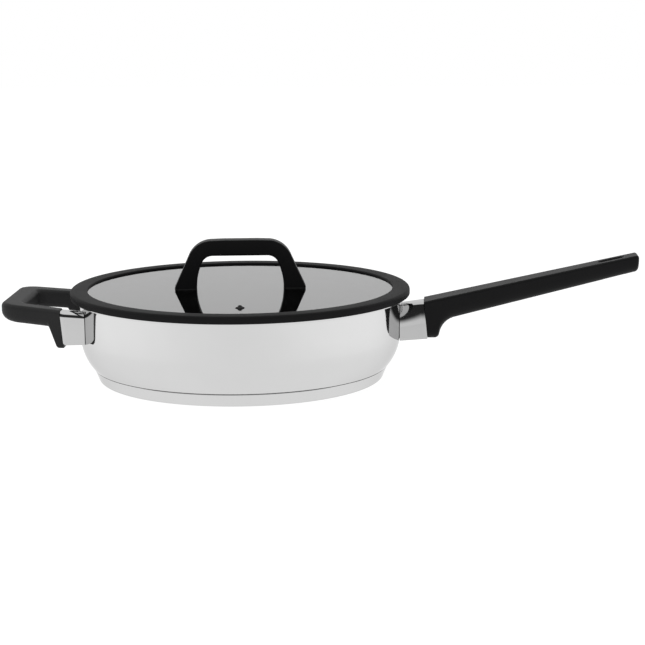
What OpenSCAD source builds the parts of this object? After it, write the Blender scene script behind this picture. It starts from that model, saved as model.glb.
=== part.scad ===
// Lidded frying pan with one long handle, one looped helper handle and a flat glass lid.
// The frame has its origin under the middle of the base, +X along the long handle and +Z up.
// All lengths are millimetres and all angles are degrees.

/* [Pan body] */
// Outer radius of the upright wall
pan_r = 139.3; // [110:0.1:170]
// Height of the pouring lip above the worktop
pan_h = 72.6; // [66:0.1:90]
// Sheet thickness of the wall and floor
wall_t = 1.2; // [0.8:0.1:2]
// Outer radius of the curve between the floor and the wall
corner_r = 24.7; // [16:0.1:29.5]
// Outer radius of the curled pouring lip
lip_r = 6; // [4:0.1:8]
// How far the lip curls outward, where 90 would be level
lip_turn = 80; // [60:1:88]

/* [Base] */
// Height of the floor's underside above the worktop
floor_lift = 7.5; // [5:0.1:9]
// Height of the seam where the base cap ends on the shell
seam_h = 11.5; // [9.4:0.1:14]
// Sheet thickness of the base cap
cap_t = 0.8; // [0.5:0.1:1.2]
// How far the cap's side leans in from the seam down to the heel
cap_lean = 2.6; // [0:0.1:5]
// Radius of the heel between the cap's side and its flat underside
heel_r = 4; // [2:0.1:6]

/* [Long handle sleeve] */
// Length of the sleeve from the wall to the grip, at half height
sleeve_len = 22.1; // [16:0.1:30]
// Width of the sleeve, and of the grip at the joint
sleeve_w = 29; // [24:0.1:36]
// Height of the sleeve at the wall
sleeve_h = 30.8; // [27:0.1:36]
// How far the sleeve's top lies below the curl of the pouring lip, at the wall
sleeve_under = 1.2; // [0.3:0.1:5]
// How much the sleeve's underside climbs from the wall to the grip
sleeve_climb = 1.7; // [0:0.1:4]
// How much taller the sleeve is at the grip than at the wall
sleeve_grow = 1.1; // [0:0.1:3]
// How far each side of the sleeve bows in to its top at the joint
sleeve_in = 3.9; // [2:0.1:5]
// How far it bows in at the wall
sleeve_wall_in = 6.4; // [4:0.1:8]
// Radius of the sleeve's lower long edges
sleeve_low_r = 2.5; // [1.5:0.1:4]
// Sheet thickness of both sleeves
sleeve_t = 1.2; // [0.8:0.1:2]
// Lean of the joint face between sleeve and grip, its top towards the pan
joint_lean = 5.7; // [0:0.1:8]

/* [Long handle grip] */
// Length of the grip from the joint to its tip
grip_len = 182; // [140:0.1:230]
// How far the grip's top face stands above the sleeve at the joint
grip_proud = 1.2; // [0:0.1:2]
// Rise of the grip's top face
grip_rise = 12.4; // [6:0.1:16]
// Width of the grip at its tip
grip_tip_w = 22; // [16:0.1:28]
// Thickness of the grip's bar at the joint
grip_root_t = 19.6; // [16:0.1:22.5]
// Thickness of the grip's bar at its tip
grip_tip_t = 13.2; // [11:0.1:16]
// Radius of the grip's long edges
grip_edge = 3; // [1.5:0.1:4]
// Length of the screw block's underside
block_len = 10.7; // [9.5:0.1:14]
// Slope of the screw block's far side
block_slope = 76; // [57:1:80]
// Radius of the screw block's lower far corner
block_corner = 4; // [1.5:0.1:4.8]
// Radius of the fillet between the screw block and the grip's bar
block_fillet = 17.5; // [8:0.1:21]
// Length of the hanging slot
slot_len = 21.5; // [14:0.1:28]
// Width of the hanging slot
slot_w = 7.6; // [6:0.1:10]
// Plastic left between the hanging slot and the tip
slot_end = 11; // [7:0.1:16]

/* [Helper handle] */
// Distance from the pan's wall to the outer end of the loop
helper_reach = 63.7; // [52:0.1:77]
// Half width of the loop where it meets its sleeves
helper_half_w = 56; // [48:0.1:68]
// Half width between the middles of the two outer corners
helper_corner_y = 33; // [26:0.1:38]
// Radius of the two outer corners
helper_corner_r = 18; // [12:0.1:22]
// Width of the loop's side bars at the sleeves
helper_bar_w = 17; // [14:0.1:21]
// Width of the loop's end bar
helper_end_w = 19; // [14:0.1:24]
// Half width of the opening at its outer end
helper_gap_half = 34; // [24:0.1:38]
// Radius of the opening's two outer corners
helper_gap_r = 6; // [3:0.1:9]
// Thickness of the loop
helper_t = 15.8; // [13:0.1:18.8]
// Radius of the loop's edges
helper_edge = 5.4; // [3:0.1:6.4]
// How far the top of the helper's sleeves lies below the curl of the pouring lip, at the wall
helper_under = 0.5; // [0.3:0.1:5]
// How far the loop's top face stands above its sleeves
helper_proud = 0.7; // [0:0.1:2]
// Rise of the loop towards its outer end
helper_rise = 5.4; // [0:0.1:10]
// Height of the feet from their lowest point to the loop's top face
foot_drop = 32.6; // [28:0.1:38]
// Length of the helper's sleeves from the wall's furthest point, at the top
helper_sleeve_len = 9.9; // [7:0.1:14]
// Height of the helper's sleeves at the grip
helper_sleeve_h = 28.9; // [24:0.1:34]
// Radius of the helper sleeves' long edges
helper_sleeve_r = 3; // [2:0.1:5]
// Lean of the helper's joint faces, their top away from the pan
helper_lean = 5.1; // [0:0.1:8]

/* [Lid] */
// How far the silicone ring stands beyond the pouring lip
ring_over = 3.2; // [2:0.1:5]
// Width of the ring as seen from above
ring_band = 15.2; // [12.5:0.1:18]
// Height of the ring above the pouring lip
ring_h = 6.3; // [5.2:0.1:8]
// Radius of the ring's outer top edge
ring_edge = 2.6; // [1.5:0.1:3.5]
// Depth of the glass below the ring's top
glass_sink = 1.65; // [1.3:0.05:2.5]
// Thickness of the glass
glass_t = 4; // [3:0.1:5]
// How deep the ring holds the glass's edge
glass_bite = 6; // [4:0.1:6.6]
// How far the skirt reaches down inside the pan, below the curl of the lip
skirt_h = 3.5; // [2:0.1:6]
// Thickness of the skirt
skirt_t = 3; // [2:0.1:4]
// How far the lid is turned on its seat, away from the handle's line
lid_turn = 5.2; // [-20:0.1:20]

/* [Lid handle] */
// Distance of each foot's middle from the lid's middle
foot_x = 47.25; // [42:0.05:60]
// Width of each foot
foot_w = 19.1; // [14:0.1:22]
// Distance of each shoulder's middle from the lid's middle
shoulder_x = 24.1; // [18:0.1:30]
// Outer radius of the shoulders
shoulder_r = 22; // [14:0.1:26]
// Height of the handle above its pads
bridge_h = 42.25; // [37:0.05:51]
// Thickness of the handle's top bar
bridge_bar_t = 13.8; // [10:0.1:16]
// Depth of the handle from front to back
bridge_d = 15; // [13:0.1:20]
// Radius of the handle's outer edges
bridge_edge = 1.8; // [1:0.1:2.5]
// Radius of the upper corners of the finger opening
gap_r = 10; // [5:0.1:13]
// Radius of the bowed sides of the finger opening
gap_side_r = 55; // [50:0.5:90]
// Thickness of the pads under the feet
pad_t = 1; // [0.6:0.1:1.6]
// Distance of the steam vent's middle from the ring's inner edge
vent_inset = 33.5; // [12:0.1:60]
// Radius of the steam vent's flange
vent_r = 3.9; // [3.3:0.1:5]
// Height of the steam vent above the glass
vent_h = 3.8; // [2.5:0.1:5]

/* [Fasteners] */
// Thread radius of the screws in the long handle and the lid
screw_r = 2; // [1.7:0.1:2.4]
// Head radius of those screws
head_r = 3.7; // [3.3:0.1:4.4]
// Head height of those screws
head_h = 2.4; // [1.9:0.1:3]
// Thread radius of the helper's screws
small_screw_r = 1.9; // [1.5:0.1:2.3]
// Head radius of the helper's screws
small_head_r = 3.3; // [2.8:0.1:3.9]
// Head height of the helper's screws
small_head_h = 2.2; // [1.8:0.1:2.7]
// Thickness of every washer
washer_t = 0.9; // [0.6:0.1:1.2]

/* [Hidden] */
$fn = 96;

// Clearances and the one overrun of every cut
run_gap = 0.3;
skirt_gap = 0.8;
seat_gap = 0.1;
thread_gap = 0.1;
pocket_gap = 0.3;
cut = 1;

// How far hulled bars run past a joint face before they are cut there
spare = 11;
hull_fn = 32;
arc_steps = 10;
bow_share = 0.72;

// Pan shell: centres of its corner and lip, and its radius at any height of the corner
corner_x = pan_r - corner_r;
corner_z = floor_lift + corner_r;
lip_in_r = lip_r + wall_t;
lip_x = pan_r + lip_r;
lip_z = pan_h - lip_in_r * sin(lip_turn);
lip_out = lip_x - lip_r * cos(lip_turn);
seam_r = corner_x + sqrt(pow(corner_r, 2) - pow(corner_z - seam_h, 2));
heel_x = seam_r - cap_lean;
heel_turn = 85;

// Long handle: joint face, grip ends and the tongue that carries the grip
sleeve_low = lip_z - sleeve_under - sleeve_h;
joint_x = pan_r + sleeve_len;
joint_low = sleeve_low + sleeve_climb;
joint_top = joint_low + sleeve_h + sleeve_grow;
joint_mid = (joint_low + joint_top) / 2;
grip_top = joint_top + grip_proud;
tip_x = joint_x + grip_len;
tip_top = grip_top + grip_len * tan(grip_rise);
tip_edge = 3;
block_x = joint_x + block_len;
bar_shares = [0.3, 0.65, 1 - tip_edge / grip_len];
tip_shares = [0.25, 0.5, 0.75, 0.95];
plate_t = 2;
plate_w_share = 0.5;
plate_h_share = 0.6;
plate_w = sleeve_w * plate_w_share;
plate_h = sleeve_h * plate_h_share;
plate_z = sleeve_low + sleeve_h / 2;
tongue_w = 14;
tongue_t = 4.5;
tongue_len = 16;
tongue_z = grip_top - grip_root_t + tongue_t / 2 + grip_edge;
screw_share = 0.62;
screw_deep = 4;
thread_out = 3;
screw_x = joint_x + block_len * screw_share;
screw_seat = joint_low + head_h + screw_deep;
screw_top = tongue_z + tongue_t / 2 + thread_out;

// Helper handle: distances are measured towards -X, so they are positive here
helper_y = helper_half_w - helper_bar_w / 2;
helper_joint = pan_r + helper_sleeve_len;
helper_end = pan_r + helper_reach;
helper_gap_end = helper_end - helper_end_w;
helper_wall = sqrt(pow(pan_r, 2) - pow(helper_y, 2));
foot_edge = 3;
foot_top_len = 12.4;
foot_low_len = 3.8;
helper_low_rise = 2.2;
helper_top_fall = 1.2;
helper_top = lip_z - helper_under + helper_top_fall;
loop_top = helper_top + helper_proud;
helper_foot_z = loop_top - foot_drop;
small_tongue_w = 8;
small_tongue_t = 4;
small_tongue_len = 10.5;
small_tongue_drop = 1;
small_tongue_z = loop_top - helper_t / 2 - small_tongue_drop;
helper_sleeve_low = helper_top - helper_sleeve_h;
small_plate_share = 0.7;
small_plate_w = helper_bar_w * small_plate_share;
small_plate_h = (helper_sleeve_h - helper_low_rise - helper_top_fall) * small_plate_share;
small_plate_z = (helper_sleeve_low + helper_low_rise + helper_top - helper_top_fall) / 2;
under_tongue_t = 1.8;
small_thread_out = 1;
small_screw_x = helper_joint + small_tongue_len / 2;
small_screw_seat = small_tongue_z - small_tongue_t / 2 - under_tongue_t - washer_t - small_head_h;
small_screw_top = small_tongue_z + small_tongue_t / 2 + small_thread_out;

// Lid: ring, glass and what stands on it
ring_low = pan_h + run_gap;
ring_r = lip_out + ring_over;
ring_in = ring_r - ring_band;
vent_y = ring_in - vent_inset;
ring_top = ring_low + ring_h;
ring_low_edge = 0.8;
ring_lip_edge = 1;
under_lip_t = 2;
glass_top = ring_top - glass_sink;
glass_low = glass_top - glass_t;
glass_r = ring_in + glass_bite;
skirt_curl = lip_in_r + skirt_gap;
skirt_out = lip_x - skirt_curl;
curl_end = 180 - asin(min(1, (ring_low - lip_z) / skirt_curl));
pad_top = glass_top + pad_t;
toe_over = 0.4;
bridge_top = pad_top + bridge_h;
bore_r = screw_r + thread_gap;
glass_slack = 0.8;
glass_bore_r = bore_r + glass_slack;
insert_t = 1.6;
insert_r = bore_r + insert_t;
insert_h = 12;
insert_spare = 1;
seal_over = 3;
seal_r = head_r + seal_over;
vent_bore_r = 1.1;
vent_neck_r = 2.4;
vent_tip_r = 1.7;
vent_flange_t = 1;
vent_hole_r = vent_neck_r + thread_gap;

steel = [0.82, 0.83, 0.84];
brushed = [0.72, 0.73, 0.75];
black = [0.09, 0.09, 0.10];
rubber = [0.13, 0.13, 0.14];

function arc(cx, cy, r, a0, a1) =
    [for (i = [0:arc_steps]) let (a = a0 + (a1 - a0) * i / arc_steps) [cx + r * cos(a), cy + r * sin(a)]];

// A rectangle with lower corners of radius rl and upper ones that reach in by rt: round, or bowed over a height
function round_box(x0, x1, y0, y1, rl, rt, bow = 0) =
    let (r = bow > 0 ? (bow * bow + rt * rt) / (2 * rt) : rt,
        end = bow > 0 ? asin(bow / r) : 90,
        cy = y1 - r * sin(end))
    concat(
        arc(x0 + rl, y0 + rl, rl, 180, 270), arc(x1 - rl, y0 + rl, rl, 270, 360),
        arc(x1 - r, cy, r, 0, end), arc(x0 + r, cy, r, 180 - end, 180));

module tube(r_out, r_in, h) {
    difference() {
        cylinder(r = r_out, h = h);
        translate([0, 0, -cut]) cylinder(r = r_in, h = h + 2 * cut);
    }
}

// A disc with rounded rims, lying on the plane z = 0
module puck(r, h, edge) {
    low = arc(r - edge, edge, edge, 270, 360);
    high = arc(r - edge, h - edge, edge, 0, 90);
    rotate_extrude($fn = hull_fn) polygon(concat([[0, 0]], low, high, [[0, h]]));
}

module ball(x, y, z, r) {
    translate([x, y, z]) sphere(r = r, $fn = hull_fn);
}

// Everything beyond a leaning joint face at x, towards +X
module beyond_joint(x, z, lean) {
    reach = grip_len + helper_reach + pan_r;
    translate([x, 0, z]) rotate([0, -lean, 0]) translate([0, -reach, -reach])
        cube([reach, 2 * reach, 2 * reach]);
}

module on_lid() {
    rotate([0, 0, lid_turn]) children();
}

// Pan body

module pan_shell() {
    outer = concat([[0, floor_lift]], arc(corner_x, corner_z, corner_r, 270, 360),
        arc(lip_x, lip_z, lip_r, 180, 180 - lip_turn));
    inner = concat(arc(lip_x, lip_z, lip_in_r, 180 - lip_turn, 180),
        arc(corner_x, corner_z, corner_r - wall_t, 360, 270), [[0, floor_lift + wall_t]]);
    color(steel) rotate_extrude() polygon(concat(outer, inner));
}

// The outline of the base cap, drawn in by a thickness
function cap_side(t) = concat(
    [[0, t]], arc(heel_x - heel_r, heel_r, heel_r - t, 270, 270 + heel_turn), [[seam_r - t, seam_h]]);

module under_shell(gap) {
    rotate_extrude()
        polygon(concat([[0, 0], [0, floor_lift - gap]],
            arc(corner_x, corner_z, corner_r + gap, 270, 360), [[pan_r + gap, 0]]));
}

module base_cap() {
    color(brushed) difference() {
        intersection() {
            rotate_extrude() polygon(concat(cap_side(0), [[0, seam_h]]));
            under_shell(seat_gap);
        }
        rotate_extrude() polygon(concat(cap_side(cap_t), [[seam_r - cap_t, seam_h + cut], [0, seam_h + cut]]));
    }
}

module base_core() {
    color("silver") intersection() {
        rotate_extrude() polygon(concat(cap_side(cap_t + seat_gap), [[0, seam_h - cap_t]]));
        under_shell(seat_gap);
    }
}

// Sleeves and welded brackets, drawn towards +X at the height and width of either handle

module slice(y, w, z0, z1, rl, rt, share) {
    rotate([90, 0, 90]) linear_extrude(height = cut)
        polygon(round_box(y - w / 2, y + w / 2, z0, z1, rl, rt, share * (z1 - z0)));
}

// The space between two slices, from inside the wall to beyond the joint
module sleeve_body(y, w, x0, x1, low0, top0, low1, top1, rl, rt0, rt1, share) {
    slope_low = (low1 - low0) / (x1 - x0);
    slope_top = (top1 - top0) / (x1 - x0);
    hull() {
        translate([x0 - spare, 0, 0])
            slice(y, w, low0 - slope_low * spare, top0 - slope_top * spare, rl, rt0, share);
        translate([x1 + spare, 0, 0])
            slice(y, w, low1 + slope_low * spare, top1 + slope_top * spare, rl, rt1, share);
    }
}

module sleeve(y, w, x0, x1, low0, top0, low1, top1, rl, rt0, rt1, share, zc, lean) {
    less = share > 0 ? 0 : sleeve_t;
    difference() {
        sleeve_body(y, w, x0, x1, low0, top0, low1, top1, rl, rt0, rt1, share);
        sleeve_body(y, w - 2 * sleeve_t, x0 - 2 * cut, x1 + 2 * cut, low0 + sleeve_t, top0 - sleeve_t,
            low1 + sleeve_t, top1 - sleeve_t, max(rl - sleeve_t, sleeve_t / 2), rt0 - less, rt1 - less, share);
        cylinder(r = pan_r + seat_gap, h = top1 + pan_h);
        beyond_joint(x1 - seat_gap / 2, zc, lean);
    }
}

// A plate that follows the wall, and a tongue with a threaded hole near its end
module bracket(y, pw, ph, pz, tw, tt, tz, x_end, hole_x, hole_r) {
    difference() {
        union() {
            intersection() {
                translate([0, 0, pz - ph / 2]) tube(pan_r + plate_t, pan_r + seat_gap, ph);
                translate([0, y - pw / 2, pz - ph]) cube([2 * pan_r, pw, 2 * ph]);
            }
            difference() {
                translate([0, y - tw / 2, tz - tt / 2]) cube([x_end, tw, tt]);
                translate([0, 0, tz - tt]) cylinder(r = pan_r + seat_gap, h = 2 * tt);
            }
        }
        translate([hole_x, y, tz - tt]) cylinder(r = hole_r, h = 2 * tt);
    }
}

module screw(r, hr, hh, seat, top) {
    translate([0, 0, seat - hh]) cylinder(r = hr, h = hh);
    translate([0, 0, seat - cut]) cylinder(r = r, h = top - seat + cut);
}

// Long handle

module handle_bracket() {
    color(brushed) bracket(0, plate_w, plate_h, plate_z, tongue_w, tongue_t, tongue_z,
        joint_x + tongue_len, screw_x, bore_r);
}

module handle_sleeve() {
    color(steel) sleeve(0, sleeve_w, pan_r, joint_x, sleeve_low, sleeve_low + sleeve_h, joint_low, joint_top,
        sleeve_low_r, sleeve_wall_in, sleeve_in, bow_share, joint_mid, joint_lean);
}

// The underside of the grip from the joint to the tip, as a list of [x, z]
function grip_under() =
    let (slope = (tip_top - grip_tip_t - grip_top + grip_root_t) / grip_len,
        bar_turn = atan(slope),
        bar_low = grip_top - grip_root_t,
        steep = tan(block_slope),
        meet_x = (bar_low - joint_low + block_x * steep - joint_x * slope) / (steep - slope),
        meet_z = bar_low + (meet_x - joint_x) * slope,
        back = block_fillet * tan((block_slope - bar_turn) / 2),
        fillet_x = meet_x - back * cos(block_slope) + block_fillet * sin(block_slope),
        fillet_z = meet_z - back * sin(block_slope) - block_fillet * cos(block_slope),
        corner_at = block_x - block_corner * tan(block_slope / 2))
    concat(
        [[joint_x - spare, joint_low]],
        arc(corner_at, joint_low + block_corner, block_corner, 270, 270 + block_slope),
        arc(fillet_x, fillet_z, block_fillet, 90 + block_slope, 90 + bar_turn),
        [for (share = bar_shares) let (x = joint_x + grip_len * share) [x, bar_low + (x - joint_x) * slope]]);

function grip_top_z(x) = grip_top + (x - joint_x) * tan(grip_rise);
function grip_half_w(x) = (sleeve_w + (grip_tip_w - sleeve_w) * (x - joint_x) / grip_len) / 2;

// One upright section of the grip, drawn in by an inset on every side
function grip_ring(x, z_low, inset) =
    let (half = grip_half_w(x) - inset, edge = max(grip_edge - inset / 2, grip_edge / 2))
    [for (p = round_box(-half, half, z_low + inset, grip_top_z(x) - inset, edge, edge)) [x, p[0], p[1]]];

module grip_solid() {
    under = grip_under();
    last = under[len(under) - 1];
    rings = concat(
        [for (p = under) grip_ring(p[0], p[1], 0)],
        [for (share = tip_shares) let (turn = 90 * share)
            grip_ring(last[0] + tip_edge * sin(turn), last[1], tip_edge * (1 - cos(turn)))]);
    count = len(rings[0]);
    ends = len(rings) - 1;
    polyhedron(
        points = [for (ring = rings) each ring],
        faces = concat(
            [[for (i = [0:count - 1]) i]],
            [[for (i = [count - 1:-1:0]) ends * count + i]],
            [for (k = [0:ends - 1], i = [0:count - 1], flip = [0, 1])
                let (a = k * count + i, b = k * count + (i + 1) % count)
                flip == 0 ? [a, a + count, b + count] : [a, b + count, b]]));
}

module handle_grip() {
    slot_mid = tip_x - slot_end - slot_len / 2;
    slot_run = slot_len / 2 - slot_w / 2;
    slot_deep = 3 * grip_tip_t;
    slot_z = grip_top_z(slot_mid) - grip_tip_t / 2;
    color(black) difference() {
        grip_solid();
        mirror([1, 0, 0]) beyond_joint(-joint_x - seat_gap / 2, joint_mid, -joint_lean);
        translate([0, -tongue_w / 2 - pocket_gap, tongue_z - tongue_t / 2 - pocket_gap])
            cube([joint_x + tongue_len + pocket_gap, tongue_w + 2 * pocket_gap, tongue_t + 2 * pocket_gap]);
        translate([screw_x, 0, 0]) {
            cylinder(r = bore_r + pocket_gap, h = screw_top + pocket_gap);
            cylinder(r = head_r + pocket_gap, h = screw_seat);
        }
        translate([slot_mid, 0, slot_z]) rotate([0, -grip_rise, 0]) translate([0, 0, -slot_deep / 2]) {
            for (side = [-1, 1]) translate([side * slot_run, 0, 0]) cylinder(r = slot_w / 2, h = slot_deep);
            translate([-slot_run, -slot_w / 2, 0]) cube([2 * slot_run, slot_w, slot_deep]);
        }
    }
}

module handle_screw() {
    color(brushed) translate([screw_x, 0, 0]) screw(screw_r, head_r, head_h, screw_seat - washer_t, screw_top);
}

module handle_washer() {
    color(brushed) translate([screw_x, 0, screw_seat - washer_t]) tube(head_r, bore_r, washer_t);
}

// Helper handle, drawn towards +X and mirrored to its own side

module helper_bracket(side) {
    color(brushed) mirror([1, 0, 0])
        bracket(side * helper_y, small_plate_w, small_plate_h, small_plate_z, small_tongue_w, small_tongue_t,
            small_tongue_z, helper_joint + small_tongue_len, small_screw_x, small_screw_r + thread_gap);
}

module helper_sleeve(side) {
    color(steel) mirror([1, 0, 0])
        sleeve(side * helper_y, helper_bar_w, helper_wall, helper_joint, helper_sleeve_low + helper_low_rise,
            helper_top - helper_top_fall, helper_sleeve_low, helper_top, helper_sleeve_r, helper_sleeve_r,
            helper_sleeve_r, 0, helper_top, -helper_lean);
}

module helper_loop() {
    more = foot_edge + helper_edge;
    translate([helper_joint, 0, loop_top]) rotate([0, -helper_rise, 0]) translate([0, 0, -helper_t])
        hull() {
            for (side = [-1, 1]) {
                translate([helper_end - helper_joint - helper_corner_r, side * helper_corner_y, 0])
                    puck(helper_corner_r, helper_t, helper_edge);
                translate([-more, side * (helper_half_w - more), 0]) puck(more, helper_t, helper_edge);
            }
        }
}

// The opening in plan, from its outer end to well inside the joint
module helper_opening() {
    half_in = helper_half_w - helper_bar_w;
    narrow = helper_gap_end - helper_gap_r;
    inside = helper_joint - pan_r / 4;
    splay = (half_in - helper_gap_half) / (helper_gap_end - helper_joint);
    half_far = half_in + splay * (helper_joint - inside);
    linear_extrude(height = 2 * helper_top)
        polygon(concat(
            [[inside, half_far], [inside, -half_far]],
            arc(narrow, helper_gap_r - helper_gap_half, helper_gap_r, 270, 360),
            arc(narrow, helper_gap_half - helper_gap_r, helper_gap_r, 0, 90)));
}

module helper_foot(side) {
    y_in = side * helper_y - helper_bar_w / 2 + foot_edge;
    y_out = side * helper_y + helper_bar_w / 2 - foot_edge;
    low_z = helper_foot_z + foot_edge;
    top_z = loop_top - helper_t + foot_edge;
    lean_back = foot_drop * tan(helper_lean) + foot_edge;
    hull() for (y = [y_in, y_out]) {
        ball(helper_joint - lean_back, y, low_z, foot_edge);
        ball(helper_joint - lean_back + foot_low_len + foot_edge, y, low_z, foot_edge);
        ball(helper_joint - foot_edge, y, top_z, foot_edge);
        ball(helper_joint + foot_top_len - foot_edge, y, top_z + foot_edge, foot_edge);
        ball(helper_joint - foot_edge, y, loop_top - helper_edge - foot_edge, foot_edge);
    }
}

module helper_grip() {
    color(black) mirror([1, 0, 0]) difference() {
        union() {
            helper_loop();
            for (side = [-1, 1]) helper_foot(side);
        }
        helper_opening();
        mirror([1, 0, 0]) beyond_joint(-helper_joint - seat_gap / 2, helper_top, helper_lean);
        for (side = [-1, 1]) translate([0, side * helper_y, 0]) {
            translate([0, -small_tongue_w / 2 - pocket_gap, small_tongue_z - small_tongue_t / 2 - pocket_gap])
                cube([helper_joint + small_tongue_len + pocket_gap, small_tongue_w + 2 * pocket_gap,
                    small_tongue_t + 2 * pocket_gap]);
            translate([small_screw_x, 0, 0]) {
                cylinder(r = small_screw_r + thread_gap + pocket_gap, h = small_screw_top + pocket_gap);
                cylinder(r = small_head_r + pocket_gap, h = small_screw_seat + small_head_h + washer_t);
            }
        }
    }
}

module helper_screws() {
    color(brushed) for (side = [-1, 1]) translate([-small_screw_x, side * helper_y, 0])
        screw(small_screw_r, small_head_r, small_head_h, small_screw_seat + small_head_h, small_screw_top);
}

module helper_washers() {
    color(brushed) for (side = [-1, 1])
        translate([-small_screw_x, side * helper_y, small_screw_seat + small_head_h])
            tube(small_head_r, small_screw_r + thread_gap, washer_t);
}

// Lid

module at_feet() {
    on_lid() for (side = [-1, 1]) translate([side * foot_x, 0, 0]) children();
}

module lid_glass() {
    color([0.75, 0.82, 0.82, 0.5]) difference() {
        translate([0, 0, glass_low]) cylinder(r = glass_r, h = glass_t);
        at_feet() translate([0, 0, glass_low - cut]) cylinder(r = glass_bore_r, h = glass_t + 2 * cut);
        on_lid() translate([0, -vent_y, glass_low - cut]) cylinder(r = vent_hole_r, h = glass_t + 2 * cut);
    }
}

module lid_ring() {
    outside = concat(
        arc(ring_r - ring_low_edge, ring_low + ring_low_edge, ring_low_edge, 270, 360),
        arc(ring_r - ring_edge, ring_top - ring_edge, ring_edge, 0, 90),
        arc(ring_in + ring_lip_edge, ring_top - ring_lip_edge, ring_lip_edge, 90, 180));
    groove = [
        [ring_in, glass_top], [glass_r, glass_top], [glass_r, glass_low], [ring_in, glass_low],
        [ring_in, glass_low - under_lip_t]
    ];
    skirt_in = min(skirt_out - skirt_t, glass_r);
    inside = concat(
        [[skirt_in, glass_low - under_lip_t], [skirt_in, lip_z - skirt_h], [skirt_out, lip_z - skirt_h]],
        arc(lip_x, lip_z, skirt_curl, 180, curl_end));
    color(rubber) rotate_extrude() polygon(concat(outside, groove, inside));
}

// A disc that stands on edge across the lid, for the hull of the bridge
module shoulder(x, z, r, edge) {
    translate([x, bridge_d / 2, z]) rotate([90, 0, 0]) puck(r, bridge_d, edge);
}

// The finger opening: each side is an arc that stands upright at the foot and runs into the upper corner
module bridge_gap() {
    top = bridge_top - bridge_bar_t;
    half_low = foot_x - foot_w / 2;
    side_x = half_low - gap_side_r;
    corner_up = top - gap_r - pad_top;
    corner_at = side_x + sqrt(pow(gap_side_r - gap_r, 2) - pow(corner_up, 2));
    turn = asin(corner_up / (gap_side_r - gap_r));
    translate([0, bridge_d / 2 + cut, 0]) rotate([90, 0, 0]) linear_extrude(height = bridge_d + 2 * cut)
        polygon(concat(
            [[-half_low, pad_top - cut], [half_low, pad_top - cut]],
            arc(side_x, pad_top, gap_side_r, 0, turn),
            arc(corner_at, top - gap_r, gap_r, turn, 90),
            arc(-corner_at, top - gap_r, gap_r, 90, 180 - turn),
            arc(-side_x, pad_top, gap_side_r, 180 - turn, 180)));
}

module lid_bridge() {
    toe = bridge_edge + toe_over;
    color(black) difference() {
        on_lid() difference() {
            hull() for (side = [-1, 1]) {
                shoulder(side * shoulder_x, bridge_top - shoulder_r, shoulder_r, bridge_edge);
                shoulder(side * (foot_x + foot_w / 2 - toe), pad_top + toe, toe, bridge_edge);
            }
            bridge_gap();
            translate([-foot_x - foot_w, -bridge_d, pad_top - 2 * shoulder_r])
                cube([2 * (foot_x + foot_w), 2 * bridge_d, 2 * shoulder_r]);
        }
        at_feet() translate([0, 0, pad_top - cut]) cylinder(r = insert_r, h = insert_h + cut);
    }
}

module bridge_inserts() {
    color("gold") at_feet() translate([0, 0, pad_top + seat_gap])
        tube(insert_r - seat_gap, bore_r, insert_h - seat_gap);
}

module bridge_pads() {
    corner = 2 * bridge_edge;
    color(rubber) at_feet() translate([0, 0, glass_top]) difference() {
        linear_extrude(height = pad_t)
            polygon(round_box(-foot_w / 2, foot_w / 2, -bridge_d / 2, bridge_d / 2, corner, corner));
        translate([0, 0, -cut]) cylinder(r = bore_r, h = pad_t + 2 * cut);
    }
}

module lid_seals() {
    color(rubber) at_feet() translate([0, 0, glass_low - washer_t]) tube(seal_r, bore_r, washer_t);
}

module lid_washers() {
    color(brushed) at_feet() translate([0, 0, glass_low - 2 * washer_t]) tube(seal_r, bore_r, washer_t);
}

module lid_screws() {
    color(brushed) at_feet()
        screw(screw_r, head_r, head_h, glass_low - 2 * washer_t, pad_top + insert_h - insert_spare);
}

module vent_grommet() {
    profile = [
        [vent_bore_r, glass_low - vent_flange_t], [vent_r, glass_low - vent_flange_t], [vent_r, glass_low],
        [vent_neck_r, glass_low], [vent_neck_r, glass_top], [vent_r, glass_top],
        [vent_r, glass_top + vent_flange_t], [vent_tip_r, glass_top + vent_h],
        [vent_bore_r, glass_top + vent_h]
    ];
    color(black) on_lid() translate([0, -vent_y, 0]) rotate_extrude($fn = hull_fn) polygon(profile);
}

pan_shell();
base_core();
base_cap();
handle_bracket();
handle_sleeve();
handle_grip();
handle_screw();
handle_washer();
helper_bracket(-1);  // helper_bracket_front
helper_bracket(1);  // helper_bracket_rear
helper_sleeve(-1);  // helper_sleeve_front
helper_sleeve(1);  // helper_sleeve_rear
helper_grip();
helper_screws();
helper_washers();
lid_glass();
lid_ring();
lid_bridge();
bridge_inserts();
bridge_pads();
lid_seals();
lid_washers();
lid_screws();
vent_grommet();
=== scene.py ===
"""Lidded frying pan: finer pieces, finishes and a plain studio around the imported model."""

import sys

import logging
import math
from dataclasses import dataclass
from enum import Enum
from typing import Iterable, Sequence, Union

import bmesh
import bpy
from mathutils import Matrix, Vector


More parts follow.
